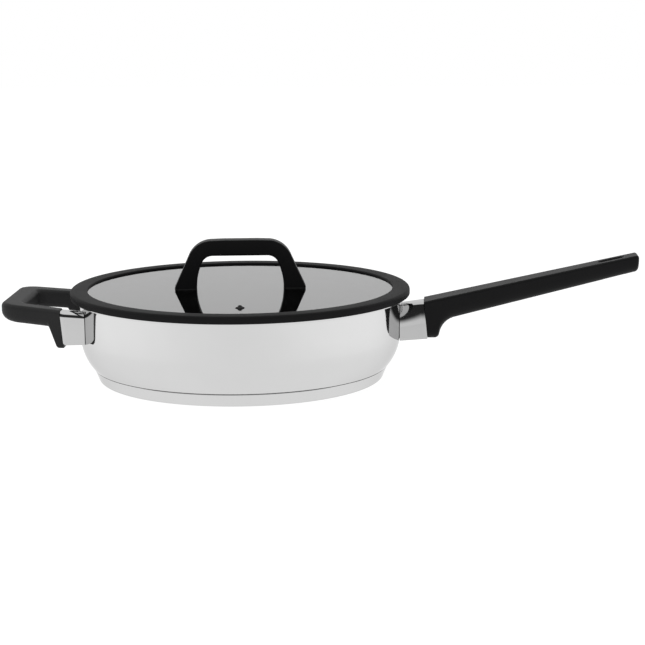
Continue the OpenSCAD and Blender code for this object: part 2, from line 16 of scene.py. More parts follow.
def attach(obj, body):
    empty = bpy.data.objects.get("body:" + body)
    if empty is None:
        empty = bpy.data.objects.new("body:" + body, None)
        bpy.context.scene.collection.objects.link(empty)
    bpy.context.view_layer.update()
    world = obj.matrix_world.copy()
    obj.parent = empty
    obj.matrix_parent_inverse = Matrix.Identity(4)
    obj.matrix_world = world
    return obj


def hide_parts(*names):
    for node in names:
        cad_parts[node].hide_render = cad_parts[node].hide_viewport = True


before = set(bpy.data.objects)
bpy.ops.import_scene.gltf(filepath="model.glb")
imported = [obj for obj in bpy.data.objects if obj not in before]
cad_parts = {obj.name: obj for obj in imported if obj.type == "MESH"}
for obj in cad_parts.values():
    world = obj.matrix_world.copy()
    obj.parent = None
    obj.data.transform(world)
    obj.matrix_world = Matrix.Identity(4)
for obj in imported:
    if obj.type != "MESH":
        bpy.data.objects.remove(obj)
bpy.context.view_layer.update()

MM = 0.001
# The wall's outer radius, in millimetres as all sizes of the pieces
WALL_R = 139.3
# How far a grip's first sections are drawn in, and how far they stand ahead of its joint face
JOINT_EDGE = ((0.35, 0.06), (0.1, 0.18), (0.0, 0.45))
# The helper handle's two bars: the side of each, and its name
BARS = ((-1, "front"), (1, "rear"))
# Points nearer than this are one, in metres, and points this near to a lathe's axis lie on it
MERGE_REACH = 1e-7
AXIS_REACH = 1e-6
Color = tuple[float, float, float]
Flat = tuple[float, float]
Place = tuple[float, float, float]
Ring = list[Vector]
Number = Union["Value", float]

log = logging.getLogger("frying_pan")


# Shader expressions


class Value:
    """A node's output that takes part in arithmetic: each operator adds the Math node that works it out."""

    def __init__(self, tree: bpy.types.NodeTree, socket: bpy.types.NodeSocket) -> None:
        """Keeps the socket and the tree that it belongs to."""
        self.tree = tree
        self.socket = socket

    def _join(self, operation: str, first: Number, second: Number) -> "Value":
        """Adds one Math node.

        Args:
            operation: The Math node's operation.
            first: Its first input.
            second: Its second input.

        Returns:
            The node's output.
        """
        node = self.tree.nodes.new("ShaderNodeMath")
        node.operation = operation
        for place, item in enumerate((first, second)):
            if isinstance(item, Value):
                self.tree.links.new(item.socket, node.inputs[place])
            else:
                node.inputs[place].default_value = item
        return Value(self.tree, node.outputs[0])

    def __add__(self, other: Number) -> "Value":
        """self + other."""
        return self._join("ADD", self, other)

    def __radd__(self, other: Number) -> "Value":
        """other + self."""
        return self._join("ADD", other, self)

    def __sub__(self, other: Number) -> "Value":
        """self - other."""
        return self._join("SUBTRACT", self, other)

    def __rsub__(self, other: Number) -> "Value":
        """other - self."""
        return self._join("SUBTRACT", other, self)

    def __mul__(self, other: Number) -> "Value":
        """self * other."""
        return self._join("MULTIPLY", self, other)

    def __rmul__(self, other: Number) -> "Value":
        """other * self."""
        return self._join("MULTIPLY", other, self)

    def __truediv__(self, other: Number) -> "Value":
        """self / other."""
        return self._join("DIVIDE", self, other)

    def __rtruediv__(self, other: Number) -> "Value":
        """other / self."""
        return self._join("DIVIDE", other, self)

    def __pow__(self, other: Number) -> "Value":
        """self ** other."""
        return self._join("POWER", self, other)

    def __rpow__(self, other: Number) -> "Value":
        """other ** self."""
        return self._join("POWER", other, self)


class Graph:
    """A node tree under construction, for a material or for the world."""

    def __init__(self, tree: bpy.types.NodeTree) -> None:
        """Empties the tree."""
        self.tree = tree
        tree.nodes.clear()

    def node(
        self, kind: str, settings: dict | None = None, inputs: dict | None = None, output: int | str = 0
    ) -> Value:
        """Adds any node.

        Args:
            kind: The node's type.
            settings: Its properties, set first; "stops" fills a colour ramp.
            inputs: Values or links for its sockets, by name or place.
            output: Which output is wanted.

        Returns:
            That output.
        """
        node = self.tree.nodes.new(kind)
        for key, item in (settings or {}).items():
            if key == "stops":
                ramp = node.color_ramp
                while len(ramp.elements) < len(item):
                    ramp.elements.new(0.5)
                for element, (place, level) in zip(ramp.elements, item):
                    element.position = place
                    element.color = (level, level, level, 1.0)
            else:
                setattr(node, key, item)
        for key, item in (inputs or {}).items():
            if isinstance(item, Value):
                self.tree.links.new(item.socket, node.inputs[key])
            else:
                node.inputs[key].default_value = item
        return Value(self.tree, node.outputs[output])

    def link(self, value: Value, node: bpy.types.Node, socket: str) -> None:
        """Links a value to a node's socket."""
        self.tree.links.new(value.socket, node.inputs[socket])

    def ease(self, value: Value, start: float, stop: float) -> Value:
        """A smooth step.

        Args:
            value: What is stepped.
            start: Where the step begins, at 0.
            stop: Where it ends, at 1.

        Returns:
            The stepped value.
        """
        inputs = {"Value": value, "From Min": start, "From Max": stop}
        return self.node("ShaderNodeMapRange", {"interpolation_type": "SMOOTHSTEP"}, inputs)

    def parts(self, vector: Value) -> tuple[Value, Value, Value]:
        """The parts of a vector.

        Args:
            vector: The vector.

        Returns:
            Its x, y and z.
        """
        node = self.node("ShaderNodeSeparateXYZ", inputs={0: vector}).socket.node
        return tuple(Value(self.tree, node.outputs[k]) for k in range(3))

    def rays(self, *kinds: str) -> list[Value]:
        """What tells kinds of rays apart.

        Args:
            kinds: Their names, such as Glossy.

        Returns:
            One value for each kind, 1 for its rays and 0 for others.
        """
        node = self.node("ShaderNodeLightPath").socket.node
        return [Value(self.tree, node.outputs[f"Is {kind} Ray"]) for kind in kinds]

    def capped(self, value: Value) -> Value:
        """A value held at 1 or less."""
        return self.node("ShaderNodeMath", {"operation": "MINIMUM"}, {0: value, 1: 1.0})

    def mix(self, share: Number, first: Value, second: Value) -> Value:
        """A mix of two shaders.

        Args:
            share: The mix.
            first: The shader where the share is 0.
            second: The shader where it is 1.

        Returns:
            The mixed shader.
        """
        return self.node("ShaderNodeMixShader", inputs={0: share, 1: first, 2: second})

    def end(self, kind: str, surface: Value) -> None:
        """Adds the tree's output.

        Args:
            kind: The output node's type.
            surface: The shader that it shows.
        """
        self.link(surface, self.tree.nodes.new(kind), "Surface")


class Paint(Graph):
    """A material under construction around one Principled shader."""

    def __init__(self, name: str, **constants: float | Sequence[float]) -> None:
        """Makes the material and sets the shader's constants.

        Args:
            name: The material's name.
            constants: Values of the shader's own sockets, with _ for a space.
        """
        self.material = bpy.data.materials.new(name)
        self.material.use_nodes = True
        super().__init__(self.material.node_tree)
        self.shader = self.tree.nodes.new("ShaderNodeBsdfPrincipled")
        end = self.tree.nodes.new("ShaderNodeOutputMaterial")
        self.tree.links.new(self.shader.outputs[0], end.inputs[0])
        for key, item in constants.items():
            self.shader.inputs[key.replace("_", " ")].default_value = item
        self.place = self.node("ShaderNodeTexCoord", output="Object")

    def axes(self) -> tuple[Value, Value, Value]:
        """The place in the row frame, in millimetres.

        Returns:
            Its x, y and z.
        """
        return tuple(part * (1 / MM) for part in self.parts(self.place))

    def noise(
        self, scale: float, detail: float = 3.0, across: Value | None = None, rough: float = 0.5
    ) -> Value:
        """A noise between 0 and 1.

        Args:
            scale: Its scale, per metre unless across is given.
            detail: Its octaves.
            across: Another vector to look it up by.
            rough: How strong the finer octaves are.

        Returns:
            The noise.
        """
        inputs = {"Vector": across or self.place, "Scale": scale, "Detail": detail, "Roughness": rough}
        return self.node("ShaderNodeTexNoise", inputs=inputs)

    def span(self, value: Value, ends: Flat) -> Value:
        """A value that rises from 0 at one level to 1 at another.

        Args:
            value: What is mapped.
            ends: The two levels.

        Returns:
            The mapped value.
        """
        stops = ((ends[0], 0.0), (ends[1], 1.0))
        return self.node("ShaderNodeValToRGB", {"stops": stops}, {0: value})

    def color(self, first: Color, second: Color, share: Value) -> None:
        """Feeds the base colour with a mix of two colours.

        Args:
            first: The colour where the share is 0.
            second: The colour where it is 1.
            share: The mix.
        """
        inputs = {"Factor": share, 6: (*first, 1.0), 7: (*second, 1.0)}
        self.link(self.node("ShaderNodeMix", {"data_type": "RGBA"}, inputs, 2), self.shader, "Base Color")

    def bump(self, height: Value, distance: float, strength: float = 1.0) -> None:
        """Feeds the normal with a bump.

        Args:
            height: The bump's height, 0 to 1.
            distance: What a height of 1 stands for, in millimetres.
            strength: How much of the bump shows.
        """
        inputs = {"Strength": strength, "Distance": distance * MM, "Height": height}
        self.link(self.node("ShaderNodeBump", inputs=inputs), self.shader, "Normal")


class Run(Enum):
    """Which way the polishing lines of a metal run."""

    ROUND = "round the pan's axis"
    ALONG = "along the handles"


@dataclass(frozen=True)
class Metal:
    """A metal with fine lines from its last working step."""

    name: str
    color: Color
    dark: Color
    roughness: float
    uneven: float
    run: Run
    pitch: float
    depth: float
    edge: float = 0.8
    slot: str = ""
    stretch: float = 0.02
    line_rough: float = 0.7
    smear_scale: float = 18.0
    smear_span: Flat = (0.35, 0.75)
    smear_share: float = 0.6

    def material(self) -> bpy.types.Material:
        """Builds the material.

        Returns:
            The material.
        """
        paint = Paint(self.name, Metallic=1.0, Specular_Tint=(self.edge, self.edge, self.edge, 1.0))
        x, y, z = paint.axes()
        reach = (x * x + y * y) ** 0.5
        first, second = (reach, z) if self.run is Run.ROUND else (y, z)
        slow = x * self.stretch if self.run is Run.ALONG else 0.0
        inputs = {0: first / self.pitch, 1: second / self.pitch, 2: slow}
        across = paint.node("ShaderNodeCombineXYZ", inputs=inputs)
        lines = paint.noise(1.0, detail=4.0, across=across, rough=self.line_rough)
        smears = paint.span(paint.noise(self.smear_scale, detail=5.0), self.smear_span)
        paint.color(self.color, self.dark, smears * self.smear_share + lines * (1 - self.smear_share))
        paint.link(self.roughness + smears * self.uneven + lines * self.uneven, paint.shader, "Roughness")
        paint.bump(lines, self.depth)
        return paint.material


@dataclass(frozen=True)
class Moulded:
    """A moulded plastic or rubber with the fine grain of its mould."""

    name: str
    color: Color
    worn: Color
    roughness: float
    uneven: float = 0.05
    grain: float = 0.35
    depth: float = 0.006
    index: float = 1.25
    level: float = 0.22
    slot: str = ""
    cell_share: float = 0.6
    flow_scale: float = 30.0
    flow_span: Flat = (0.4, 0.75)
    speck_scale: float = 900.0
    speck_span: Flat = (0.66, 0.76)

    def material(self) -> bpy.types.Material:
        """Builds the material.

        Returns:
            The material.
        """
        paint = Paint(self.name, IOR=self.index, Specular_IOR_Level=self.level)
        grain = paint.noise(1 / (self.grain * MM), detail=2.0)
        inputs = {"Vector": paint.place, "Scale": self.cell_share / (self.grain * MM)}
        cells = paint.node("ShaderNodeTexVoronoi", {"feature": "F1"}, inputs)
        flow = paint.span(paint.noise(self.flow_scale, detail=5.0, rough=0.6), self.flow_span)
        specks = paint.span(paint.noise(self.speck_scale, detail=1.0), self.speck_span)
        paint.color(self.color, self.worn, flow * 0.5 + specks * 0.5)
        paint.link(self.roughness + flow * self.uneven + grain * self.uneven, paint.shader, "Roughness")
        paint.bump(grain * 0.5 + cells * 0.5, self.depth)
        return paint.material


@dataclass(frozen=True)
class ShadeTintedGlass:
    """A tempered glass tinted dark, painted shade that dims the pan's inside seen through it, with faint
    wipe marks.
    """

    name: str
    color: Color
    index: float
    slot: str = ""
    worn_share: float = 0.94
    roughness: float = 0.002
    wipe_scale: float = 9.0
    wipe_span: Flat = (0.5, 0.8)
    wipe_rough: float = 0.012
    wave_scale: float = 6.0
    wave_depth: float = 0.02

    def material(self) -> bpy.types.Material:
        """Builds the material.

        Returns:
            The material.
        """
        paint = Paint(self.name, IOR=self.index, Transmission_Weight=1.0)
        wipes = paint.span(paint.noise(self.wipe_scale, detail=6.0, rough=0.65), self.wipe_span)
        paint.color(self.color, tuple(self.worn_share * part for part in self.color), wipes)
        paint.link(self.roughness + wipes * self.wipe_rough, paint.shader, "Roughness")
        paint.bump(paint.noise(self.wave_scale, detail=1.0), self.wave_depth)
        return paint.material


def grey(level: float, blue: float = 0.0) -> Color:
    """A grey, with a little more blue where that is given."""
    return (level, level, level + blue)


class Finish(Enum):
    """The finishes of the pan, each with the record's material slot that it belongs to."""

    MIRROR = Metal(
        "mirror_steel", grey(0.71), grey(0.675), roughness=0.03, uneven=0.03,
        run=Run.ROUND, pitch=0.7, depth=0.0004,
    )
    # Painted shade: the pan's mirror steel darkened for the long handle's sleeve
    SLEEVE_SHADED = Metal(
        "sleeve_steel_painted_shade", grey(0.52), grey(0.48), roughness=0.05, uneven=0.04,
        run=Run.ALONG, pitch=0.6, depth=0.0004, slot="mirror_steel",
    )
    # Painted shade: the mirror steel darkened less, for the helper's sleeves
    SLEEVE_PALE_SHADED = Metal(
        "pale_steel_painted_shade", grey(0.59), grey(0.55), roughness=0.05, uneven=0.04,
        run=Run.ALONG, pitch=0.6, depth=0.0004, slot="mirror_steel",
    )
    SATIN = Metal(
        "satin_steel", grey(0.62, 0.01), grey(0.50, 0.01), roughness=0.24, uneven=0.08,
        run=Run.ROUND, pitch=0.35, depth=0.004,
    )
    CORE = Metal(
        "core_aluminium", grey(0.80), grey(0.66), roughness=0.35, uneven=0.10,
        run=Run.ROUND, pitch=0.9, depth=0.01,
    )
    INSERT = Metal(
        "insert_brass", (0.70, 0.52, 0.24), (0.52, 0.36, 0.15), roughness=0.30, uneven=0.10,
        run=Run.ROUND, pitch=0.4, depth=0.006,
    )
    # Painted shade: a near-black finish for the ring that darkens the seam's gap
    SEAM = Moulded(
        "seam_shade", grey(0.035), (0.07, 0.065, 0.06), roughness=0.7, uneven=0.1,
        grain=0.4, depth=0.01, index=1.45, level=0.2, slot="black_rubber",
    )
    PHENOLIC = Moulded("black_phenolic", grey(0.006, 0.0003), grey(0.009, 0.0003), roughness=0.42)
    # Painted light: the black phenolic made lighter for the long grip
    GRIP = Moulded(
        "grip_phenolic_painted_light", grey(0.0078, 0.0003), grey(0.011, 0.0003), roughness=0.42, slot="black_phenolic"
    )
    # Painted light: the black phenolic made much lighter for the helper handle
    HELPER_LIT = Moulded(
        "helper_phenolic_painted_light", grey(0.021, 0.0003), grey(0.027, 0.0003), roughness=0.45, level=0.25,
        slot="black_phenolic",
    )
    SILICONE = Moulded(
        "black_silicone", grey(0.009, 0.0003), grey(0.013, 0.0003), roughness=0.50, uneven=0.06,
        grain=0.5, depth=0.008, index=1.09, level=1.0,
    )
    RUBBER = Moulded(
        "black_rubber", grey(0.012), grey(0.020), roughness=0.6, uneven=0.08,
        grain=0.4, depth=0.01, index=1.45, level=0.3,
    )
    # Painted shade: the glass is tinted dark so that the pan's inside shows dim through it
    GLASS = ShadeTintedGlass("clear_glass", (0.085, 0.09, 0.09), index=1.5)

    @property
    def slot(self) -> str:
        """The record's material slot."""
        return self.value.slot or self.value.name


class Finishes:
    """The materials of the finishes, each built once."""

    def __init__(self) -> None:
        """Starts with no material."""
        self.made: dict[Finish, bpy.types.Material] = {}

    def of(self, finish: Finish) -> bpy.types.Material:
        """The material of a finish.

        Args:
            finish: The finish.

        Returns:
            Its material.
        """
        if finish not in self.made:
            self.made[finish] = finish.value.material()
        return self.made[finish]


# Mesh building


def slope_of(angle: float) -> float:
    """The slope of a line that rises by an angle in degrees."""
    return math.tan(math.radians(angle))


def arc(center: Flat, radius: float, start: float, end: float, steps: int = 12) -> list[Flat]:
    """Points along an arc.

    Args:
        center: Its centre.
        radius: Its radius.
        start: The angle of its first point, in degrees.
        end: The angle of its last point.
        steps: How many stretches it has.

    Returns:
        The points.
    """
    angles = [math.radians(start + (end - start) * k / steps) for k in range(steps + 1)]
    return [(center[0] + radius * math.cos(a), center[1] + radius * math.sin(a)) for a in angles]


def rounded(low: Flat, high: Flat, radii: Sequence[float], steps: int = 6) -> list[Flat]:
    """A rectangle with rounded corners, counterclockwise from its lower left.

    Args:
        low: Its lowest corner.
        high: Its highest corner.
        radii: Radii of the lower left, lower right, upper right and upper left corners.
        steps: How many stretches each corner has.

    Returns:
        The outline.
    """
    a, b, c, d = radii
    return (
        arc((low[0] + a, low[1] + a), a, 180, 270, steps)
        + arc((high[0] - b, low[1] + b), b, 270, 360, steps)
        + arc((high[0] - c, high[1] - c), c, 0, 90, steps)
        + arc((low[0] + d, high[1] - d), d, 90, 180, steps)
    )


def bowed(low: Flat, high: Flat, low_r: float, reach: float, share: float, edge: float) -> list[Flat]:
    """A rectangle whose sides bow in towards its top, counterclockwise from its lower left.

    Args:
        low: Its lowest corner.
        high: Its highest corner.
        low_r: Radius of its lower corners.
        reach: How far each side bows in.
        share: The bow's height as a share of the rectangle's.
        edge: Radius of its upper edges.

    Returns:
        The outline.
    """
    bow = share * (high[1] - low[1])
    radius = (bow**2 + reach**2) / (2 * reach)
    base = high[1] - bow
    end = math.asin((bow - edge) / (radius - edge))
    right, left = (high[0] - radius, base), (low[0] + radius, base)
    ease_r, turn = (radius - edge) * math.cos(end), math.degrees(end)
    return (
        arc((low[0] + low_r, low[1] + low_r), low_r, 180, 270, 8)
        + arc((high[0] - low_r, low[1] + low_r), low_r, 270, 360, 8)
        + arc(right, radius, 0, turn, 12)
        + arc((right[0] + ease_r, high[1] - edge), edge, turn, 90, 8)[1:]
        + arc((left[0] - ease_r, high[1] - edge), edge, 90, 180 - turn, 8)
        + arc(left, radius, 180 - turn, 180, 12)[1:]
    )


def tangent_angle(first: Flat, first_r: float, second: Flat, second_r: float, side: int) -> float:
    """Heading, in degrees, from both centres to the line that touches two circles on one side.

    Args:
        first: Centre of the first circle.
        first_r: Its radius.
        second: Centre of the second circle.
        second_r: Its radius.
        side: 1 for the left of the way from the first to the second, -1 for the right.

    Returns:
        The heading.
    """
    run, rise = second[0] - first[0], second[1] - first[1]
    open_angle = math.acos((first_r - second_r) / math.hypot(run, rise))
    return math.degrees(math.atan2(rise, run) + side * open_angle)


def between(first: Flat, second: Flat, share: float) -> Flat:
    """The point at a share of the way between two points."""
    return (first[0] + (second[0] - first[0]) * share, first[1] + (second[1] - first[1]) * share)


def soften(piece: bpy.types.Object, angle: float = 32.0) -> None:
    """Shades a piece smooth, with its edges above an angle left sharp.

    Args:
        piece: The piece.
        angle: That angle, in degrees.
    """
    piece.data.shade_smooth()
    piece.data.set_sharp_from_angle(angle=math.radians(angle))


def add(name: str, data: bpy.types.ID) -> bpy.types.Object:
    """A new object in the scene.

    Args:
        name: Its name.
        data: Its mesh, lamp or camera.

    Returns:
        The object.
    """
    item = bpy.data.objects.new(name, data)
    bpy.context.scene.collection.objects.link(item)
    return item


def piece_from(name: str, points: Iterable[Vector], faces: Iterable[Sequence[int]]) -> bpy.types.Object:
    """Makes a piece from points in millimetres and faces.

    Args:
        name: The piece's name.
        points: Its vertices, in the row frame.
        faces: Its faces.

    Returns:
        The piece, linked to the scene, with its faces turned outwards.
    """
    mesh = bpy.data.meshes.new(name)
    mesh.from_pydata([Vector(p) * MM for p in points], [], [tuple(f) for f in faces])
    work = bmesh.new()
    work.from_mesh(mesh)
    bmesh.ops.remove_doubles(work, verts=work.verts, dist=MERGE_REACH)
    bmesh.ops.recalc_face_normals(work, faces=work.faces)
    work.to_mesh(mesh)
    work.free()
    piece = add(name, mesh)
    soften(piece)
    return piece


def loft(name: str, rings: Sequence[Ring], closed: bool = False) -> bpy.types.Object:
    """Joins closed rings of equal counts to one skin.

    Args:
        name: The piece's name.
        rings: The rings, in order.
        closed: Whether the last ring joins the first; otherwise both ends are capped.

    Returns:
        The piece.
    """
    count = len(rings[0])
    faces = []
    for k in range(len(rings) if closed else len(rings) - 1):
        low, high = k * count, (k + 1) % len(rings) * count
        faces += [(low + i, low + (i + 1) % count, high + (i + 1) % count, high + i) for i in range(count)]
    if not closed:
        faces += [tuple(range(count)), tuple((len(rings) - 1) * count + i for i in range(count))]
    return piece_from(name, [p for ring in rings for p in ring], faces)


def lathe(
    name: str, profile: Sequence[Flat], center: Flat = (0.0, 0.0), steps: int = 320
) -> bpy.types.Object:
    """Turns a profile round an upright axis.

    Args:
        name: The piece's name.
        profile: Points of radius and height, a closed outline, or open where both ends lie on the axis.
        center: Where the axis stands.
        steps: How many stretches the turn has.

    Returns:
        The piece.
    """
    points: list[Vector] = []
    columns: list[list[int]] = []
    for radius, height in profile:
        if radius < AXIS_REACH:
            points.append(Vector((*center, height)))
            columns.append([len(points) - 1] * steps)
        else:
            columns.append(list(range(len(points), len(points) + steps)))
            for k in range(steps):
                a = 2 * math.pi * k / steps
                x, y = center[0] + radius * math.cos(a), center[1] + radius * math.sin(a)
                points.append(Vector((x, y, height)))
    on_axis = profile[0][0] < AXIS_REACH and profile[-1][0] < AXIS_REACH
    faces = []
    for k in range(len(profile) - 1 if on_axis else len(profile)):
        low, high = columns[k], columns[(k + 1) % len(profile)]
        for i in range(steps):
            j = (i + 1) % steps
            face = [low[i], low[j], high[j], high[i]]
            faces.append([v for n, v in enumerate(face) if v not in face[:n]])
    return piece_from(name, points, [f for f in faces if len(f) > 2])


def carve(piece: bpy.types.Object, cutters: Sequence[bpy.types.Object]) -> bpy.types.Object:
    """Cuts shapes out of a piece and marks its sharp edges again.

    Args:
        piece: The piece.
        cutters: The shapes, which are used up.

    Returns:
        The piece.
    """
    for cutter in cutters:
        cut = piece.modifiers.new("cut", "BOOLEAN")
        cut.operation, cut.solver, cut.object = "DIFFERENCE", "EXACT", cutter
    cut_mesh = bpy.data.meshes.new_from_object(piece.evaluated_get(bpy.context.evaluated_depsgraph_get()))
    piece.modifiers.clear()
    rough, piece.data = piece.data, cut_mesh
    bpy.data.meshes.remove(rough)
    for cutter in cutters:
        bpy.data.objects.remove(cutter)
    soften(piece)
    even = piece.modifiers.new("even_shading", "WEIGHTED_NORMAL")
    even.keep_sharp = True
    return piece


def underside(
    start: Flat, corner_x: float, slope: float, corner_r: float, fillet_r: float, bar: Flat, bar_rise: float
) -> list[Flat]:
    """The lower outline of a grip: a level block, its slope and a fillet into the bar.

    Args:
        start: Where the level part begins.
        corner_x: Where the level line and the slope would meet.
        slope: The slope's angle, in degrees.
        corner_r: Radius of the corner between them.
        fillet_r: Radius of the fillet between the slope and the bar.
        bar: A point of the bar's lower line.
        bar_rise: That line's rise, as a tangent.

    Returns:
        Points of x and z, from the start to the fillet's end.
    """
    steep, turn = slope_of(slope), math.degrees(math.atan(bar_rise))
    meet_x = (bar[1] - start[1] + corner_x * steep - bar[0] * bar_rise) / (steep - bar_rise)
    meet_z = bar[1] + (meet_x - bar[0]) * bar_rise
    back = fillet_r * slope_of((slope - turn) / 2)
    c, s = math.cos(math.radians(slope)), math.sin(math.radians(slope))
    fillet = (meet_x - back * c + fillet_r * s, meet_z - back * s - fillet_r * c)
    corner = (corner_x - corner_r * slope_of(slope / 2), start[1] + corner_r)
    return [
        start,
        *arc(corner, corner_r, 270, 270 + slope, 8),
        *arc(fillet, fillet_r, 90 + slope, 90 + turn, 10),
    ]


# Sub-assemblies


@dataclass
class Assembly:
    """What the sub-assemblies share: the body that they ride on and the materials."""

    finishes: Finishes
    body: str = "pan"

    def show(self, piece: bpy.types.Object, finish: Finish, *nodes: str) -> bpy.types.Object:
        """Gives a piece its finish, its body and the nodes that it stands for.

        Args:
            piece: The piece.
            finish: Its finish.
            nodes: The CAD nodes that it replaces.

        Returns:
            The piece.
        """
        piece.data.materials.clear()
        piece.data.materials.append(self.finishes.of(finish))
        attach(piece, self.body)
        if nodes:
            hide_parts(*nodes)
        finish.slot
        log.info("%s: %d faces, %s", piece.name, len(piece.data.polygons), finish.name.lower())
        return piece

    def dress(self, finish: Finish, *nodes: str) -> None:
        """Gives CAD nodes that stay a finish.

        Args:
            finish: The finish.
            nodes: The nodes' names.
        """
        for name in nodes:
            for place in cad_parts[name].material_slots:
                place.material = self.finishes.of(finish)
            log.info("%s: kept, %s", name, finish.name.lower())


@dataclass
class PanBody(Assembly):
    """The shell with its lip bent outwards, and the clad base."""

    # The shell's sheet, its lip and the two arcs of its corner, whose turns are in degrees
    wall_r: float = WALL_R
    height: float = 72.6
    sheet: float = 1.2
    lift: float = 7.5
    floor_flat: float = 60.0
    corner_r: float = 24.7
    corner_turns: Flat = (304.5, 302.5)
    sweep_r: float = 42.4
    sweep_z: float = 40.1
    sweep_turn: float = 318.5
    wall_from: float = 52.1
    bend_r: float = 1.8
    rim_r: float = 144.8
    rim_edge: float = 0.25
    # The seam: its place, and how far in and below the points of its section lie; that section is a dark
    # ring of painted shade in the seam's gap
    seam_z: float = 11.5
    seam_r: float = 128.08
    seam_gap: float = 0.38
    shade_ring_section: tuple[Flat, ...] = ((1.2, 1.6), (0.72, 1.2), (0.42, 0.28), (1.0, 0.75))
    # The cap: its sole, its heel and the rolled bead at its rim
    cap_sheet: float = 0.8
    cap_lean: float = 3.4
    sole_rings: Flat = (40.0, 90.0)
    heel_r: float = 3.4
    heel_turn: float = 84.0
    heel_turn_inside: float = 80.0
    bead_r: float = 0.4
    bead_in: float = 0.5
    bead_low: float = 0.02
    bead_turn: float = 160.0
    bead_neck: float = 0.6
    # The core: its gap to its neighbours, and how far in and below its upper edge lies
    core_gap: float = 0.05
    core_low: float = 1.0
    core_edge: Flat = (1.4, 0.4)

    def build(self) -> None:
        """Builds the shell, the cap, the seam's dark ring of painted shade and the core."""
        self.shell()
        self.cap()
        self.core()

    def corner(self) -> Flat:
        """Centre of the lower arc of the shell's corner."""
        return (self.wall_r - self.corner_r, self.lift + self.corner_r)

    def heel(self) -> Flat:
        """Centre of the cap's heel."""
        return (self.seam_r - self.cap_lean - self.heel_r, self.heel_r)

    def shell(self) -> None:
        """The floor, the corner's two arcs, the wall and the lip, bent outwards, from one sheet."""
        corner, sweep = self.corner(), (self.wall_r - self.sweep_r, self.sweep_z)
        low = self.height - self.sheet
        bend = (self.wall_r + self.bend_r, low - self.bend_r)
        edge = self.rim_edge
        profile = (
            [(0.0, self.lift), (self.floor_flat, self.lift)]
            + arc(corner, self.corner_r, 270, self.corner_turns[0], 14)
            + arc(sweep, self.sweep_r, self.sweep_turn, 360, 18)
            + [(self.wall_r, self.wall_from)]
            + arc(bend, self.bend_r, 180, 90, 12)
            + arc((self.rim_r - edge, low + edge), edge, -90, 0, 4)
            + arc((self.rim_r - edge, self.height - edge), edge, 0, 90, 4)
            + arc(bend, self.bend_r + self.sheet, 90, 180, 12)
            + [(self.wall_r - self.sheet, self.wall_from)]
            + arc(sweep, self.sweep_r - self.sheet, 360, self.sweep_turn, 18)
            + arc(corner, self.corner_r - self.sheet, self.corner_turns[1], 270, 14)
            + [(self.floor_flat, self.lift + self.sheet), (0.0, self.lift + self.sheet)]
        )
        self.show(lathe("pan_shell_polished", profile), Finish.MIRROR, "pan_shell")

    def cap(self) -> None:
        """The cap under the floor, with a rolled rim that leaves a fine seam below the shell, and a dark
        ring of painted shade in that seam.
        """
        heel = self.heel()
        rim = (self.seam_r - self.bead_in, self.seam_z - self.seam_gap - self.bead_r - self.bead_low)
        profile = (
            [(radius, 0.0) for radius in (0.0, *self.sole_rings)]
            + arc(heel, self.heel_r, 270, 270 + self.heel_turn, 14)
            + arc(rim, self.bead_r, 0, self.bead_turn, 8)
            + [(rim[0] - self.bead_r, rim[1] - self.bead_neck)]
            + arc(heel, self.heel_r - self.cap_sheet, 270 + self.heel_turn_inside, 270, 10)
            + [(0.0, self.cap_sheet)]
        )
        self.show(lathe("base_cap_polished", profile), Finish.MIRROR, "base_cap")
        # A dark ring in the seam: painted shade that darkens the gap
        seam = [(self.seam_r - inward, self.seam_z - below) for inward, below in self.shade_ring_section]
        self.show(lathe("base_seam_painted_shade", seam), Finish.SEAM)

    def core(self) -> None:
        """The plate between the floor and the cap, which follows both."""
        corner, gap, top = self.corner(), self.core_gap, self.seam_z - self.core_low
        inward, below = self.core_edge
        turn = 270 + math.degrees(math.acos((corner[1] - top) / (self.corner_r + gap)))
        profile = (
            [(0.0, self.cap_sheet + gap)]
            + arc(self.heel(), self.heel_r - self.cap_sheet - gap, 270, 270 + self.heel_turn_inside, 8)
            + [(self.seam_r - inward, top - below)]
            + arc(corner, self.corner_r + gap, turn, 270, 10)
            + [(0.0, self.lift - gap)]
        )
        self.show(lathe("base_core_plate", profile), Finish.CORE, "base_core")


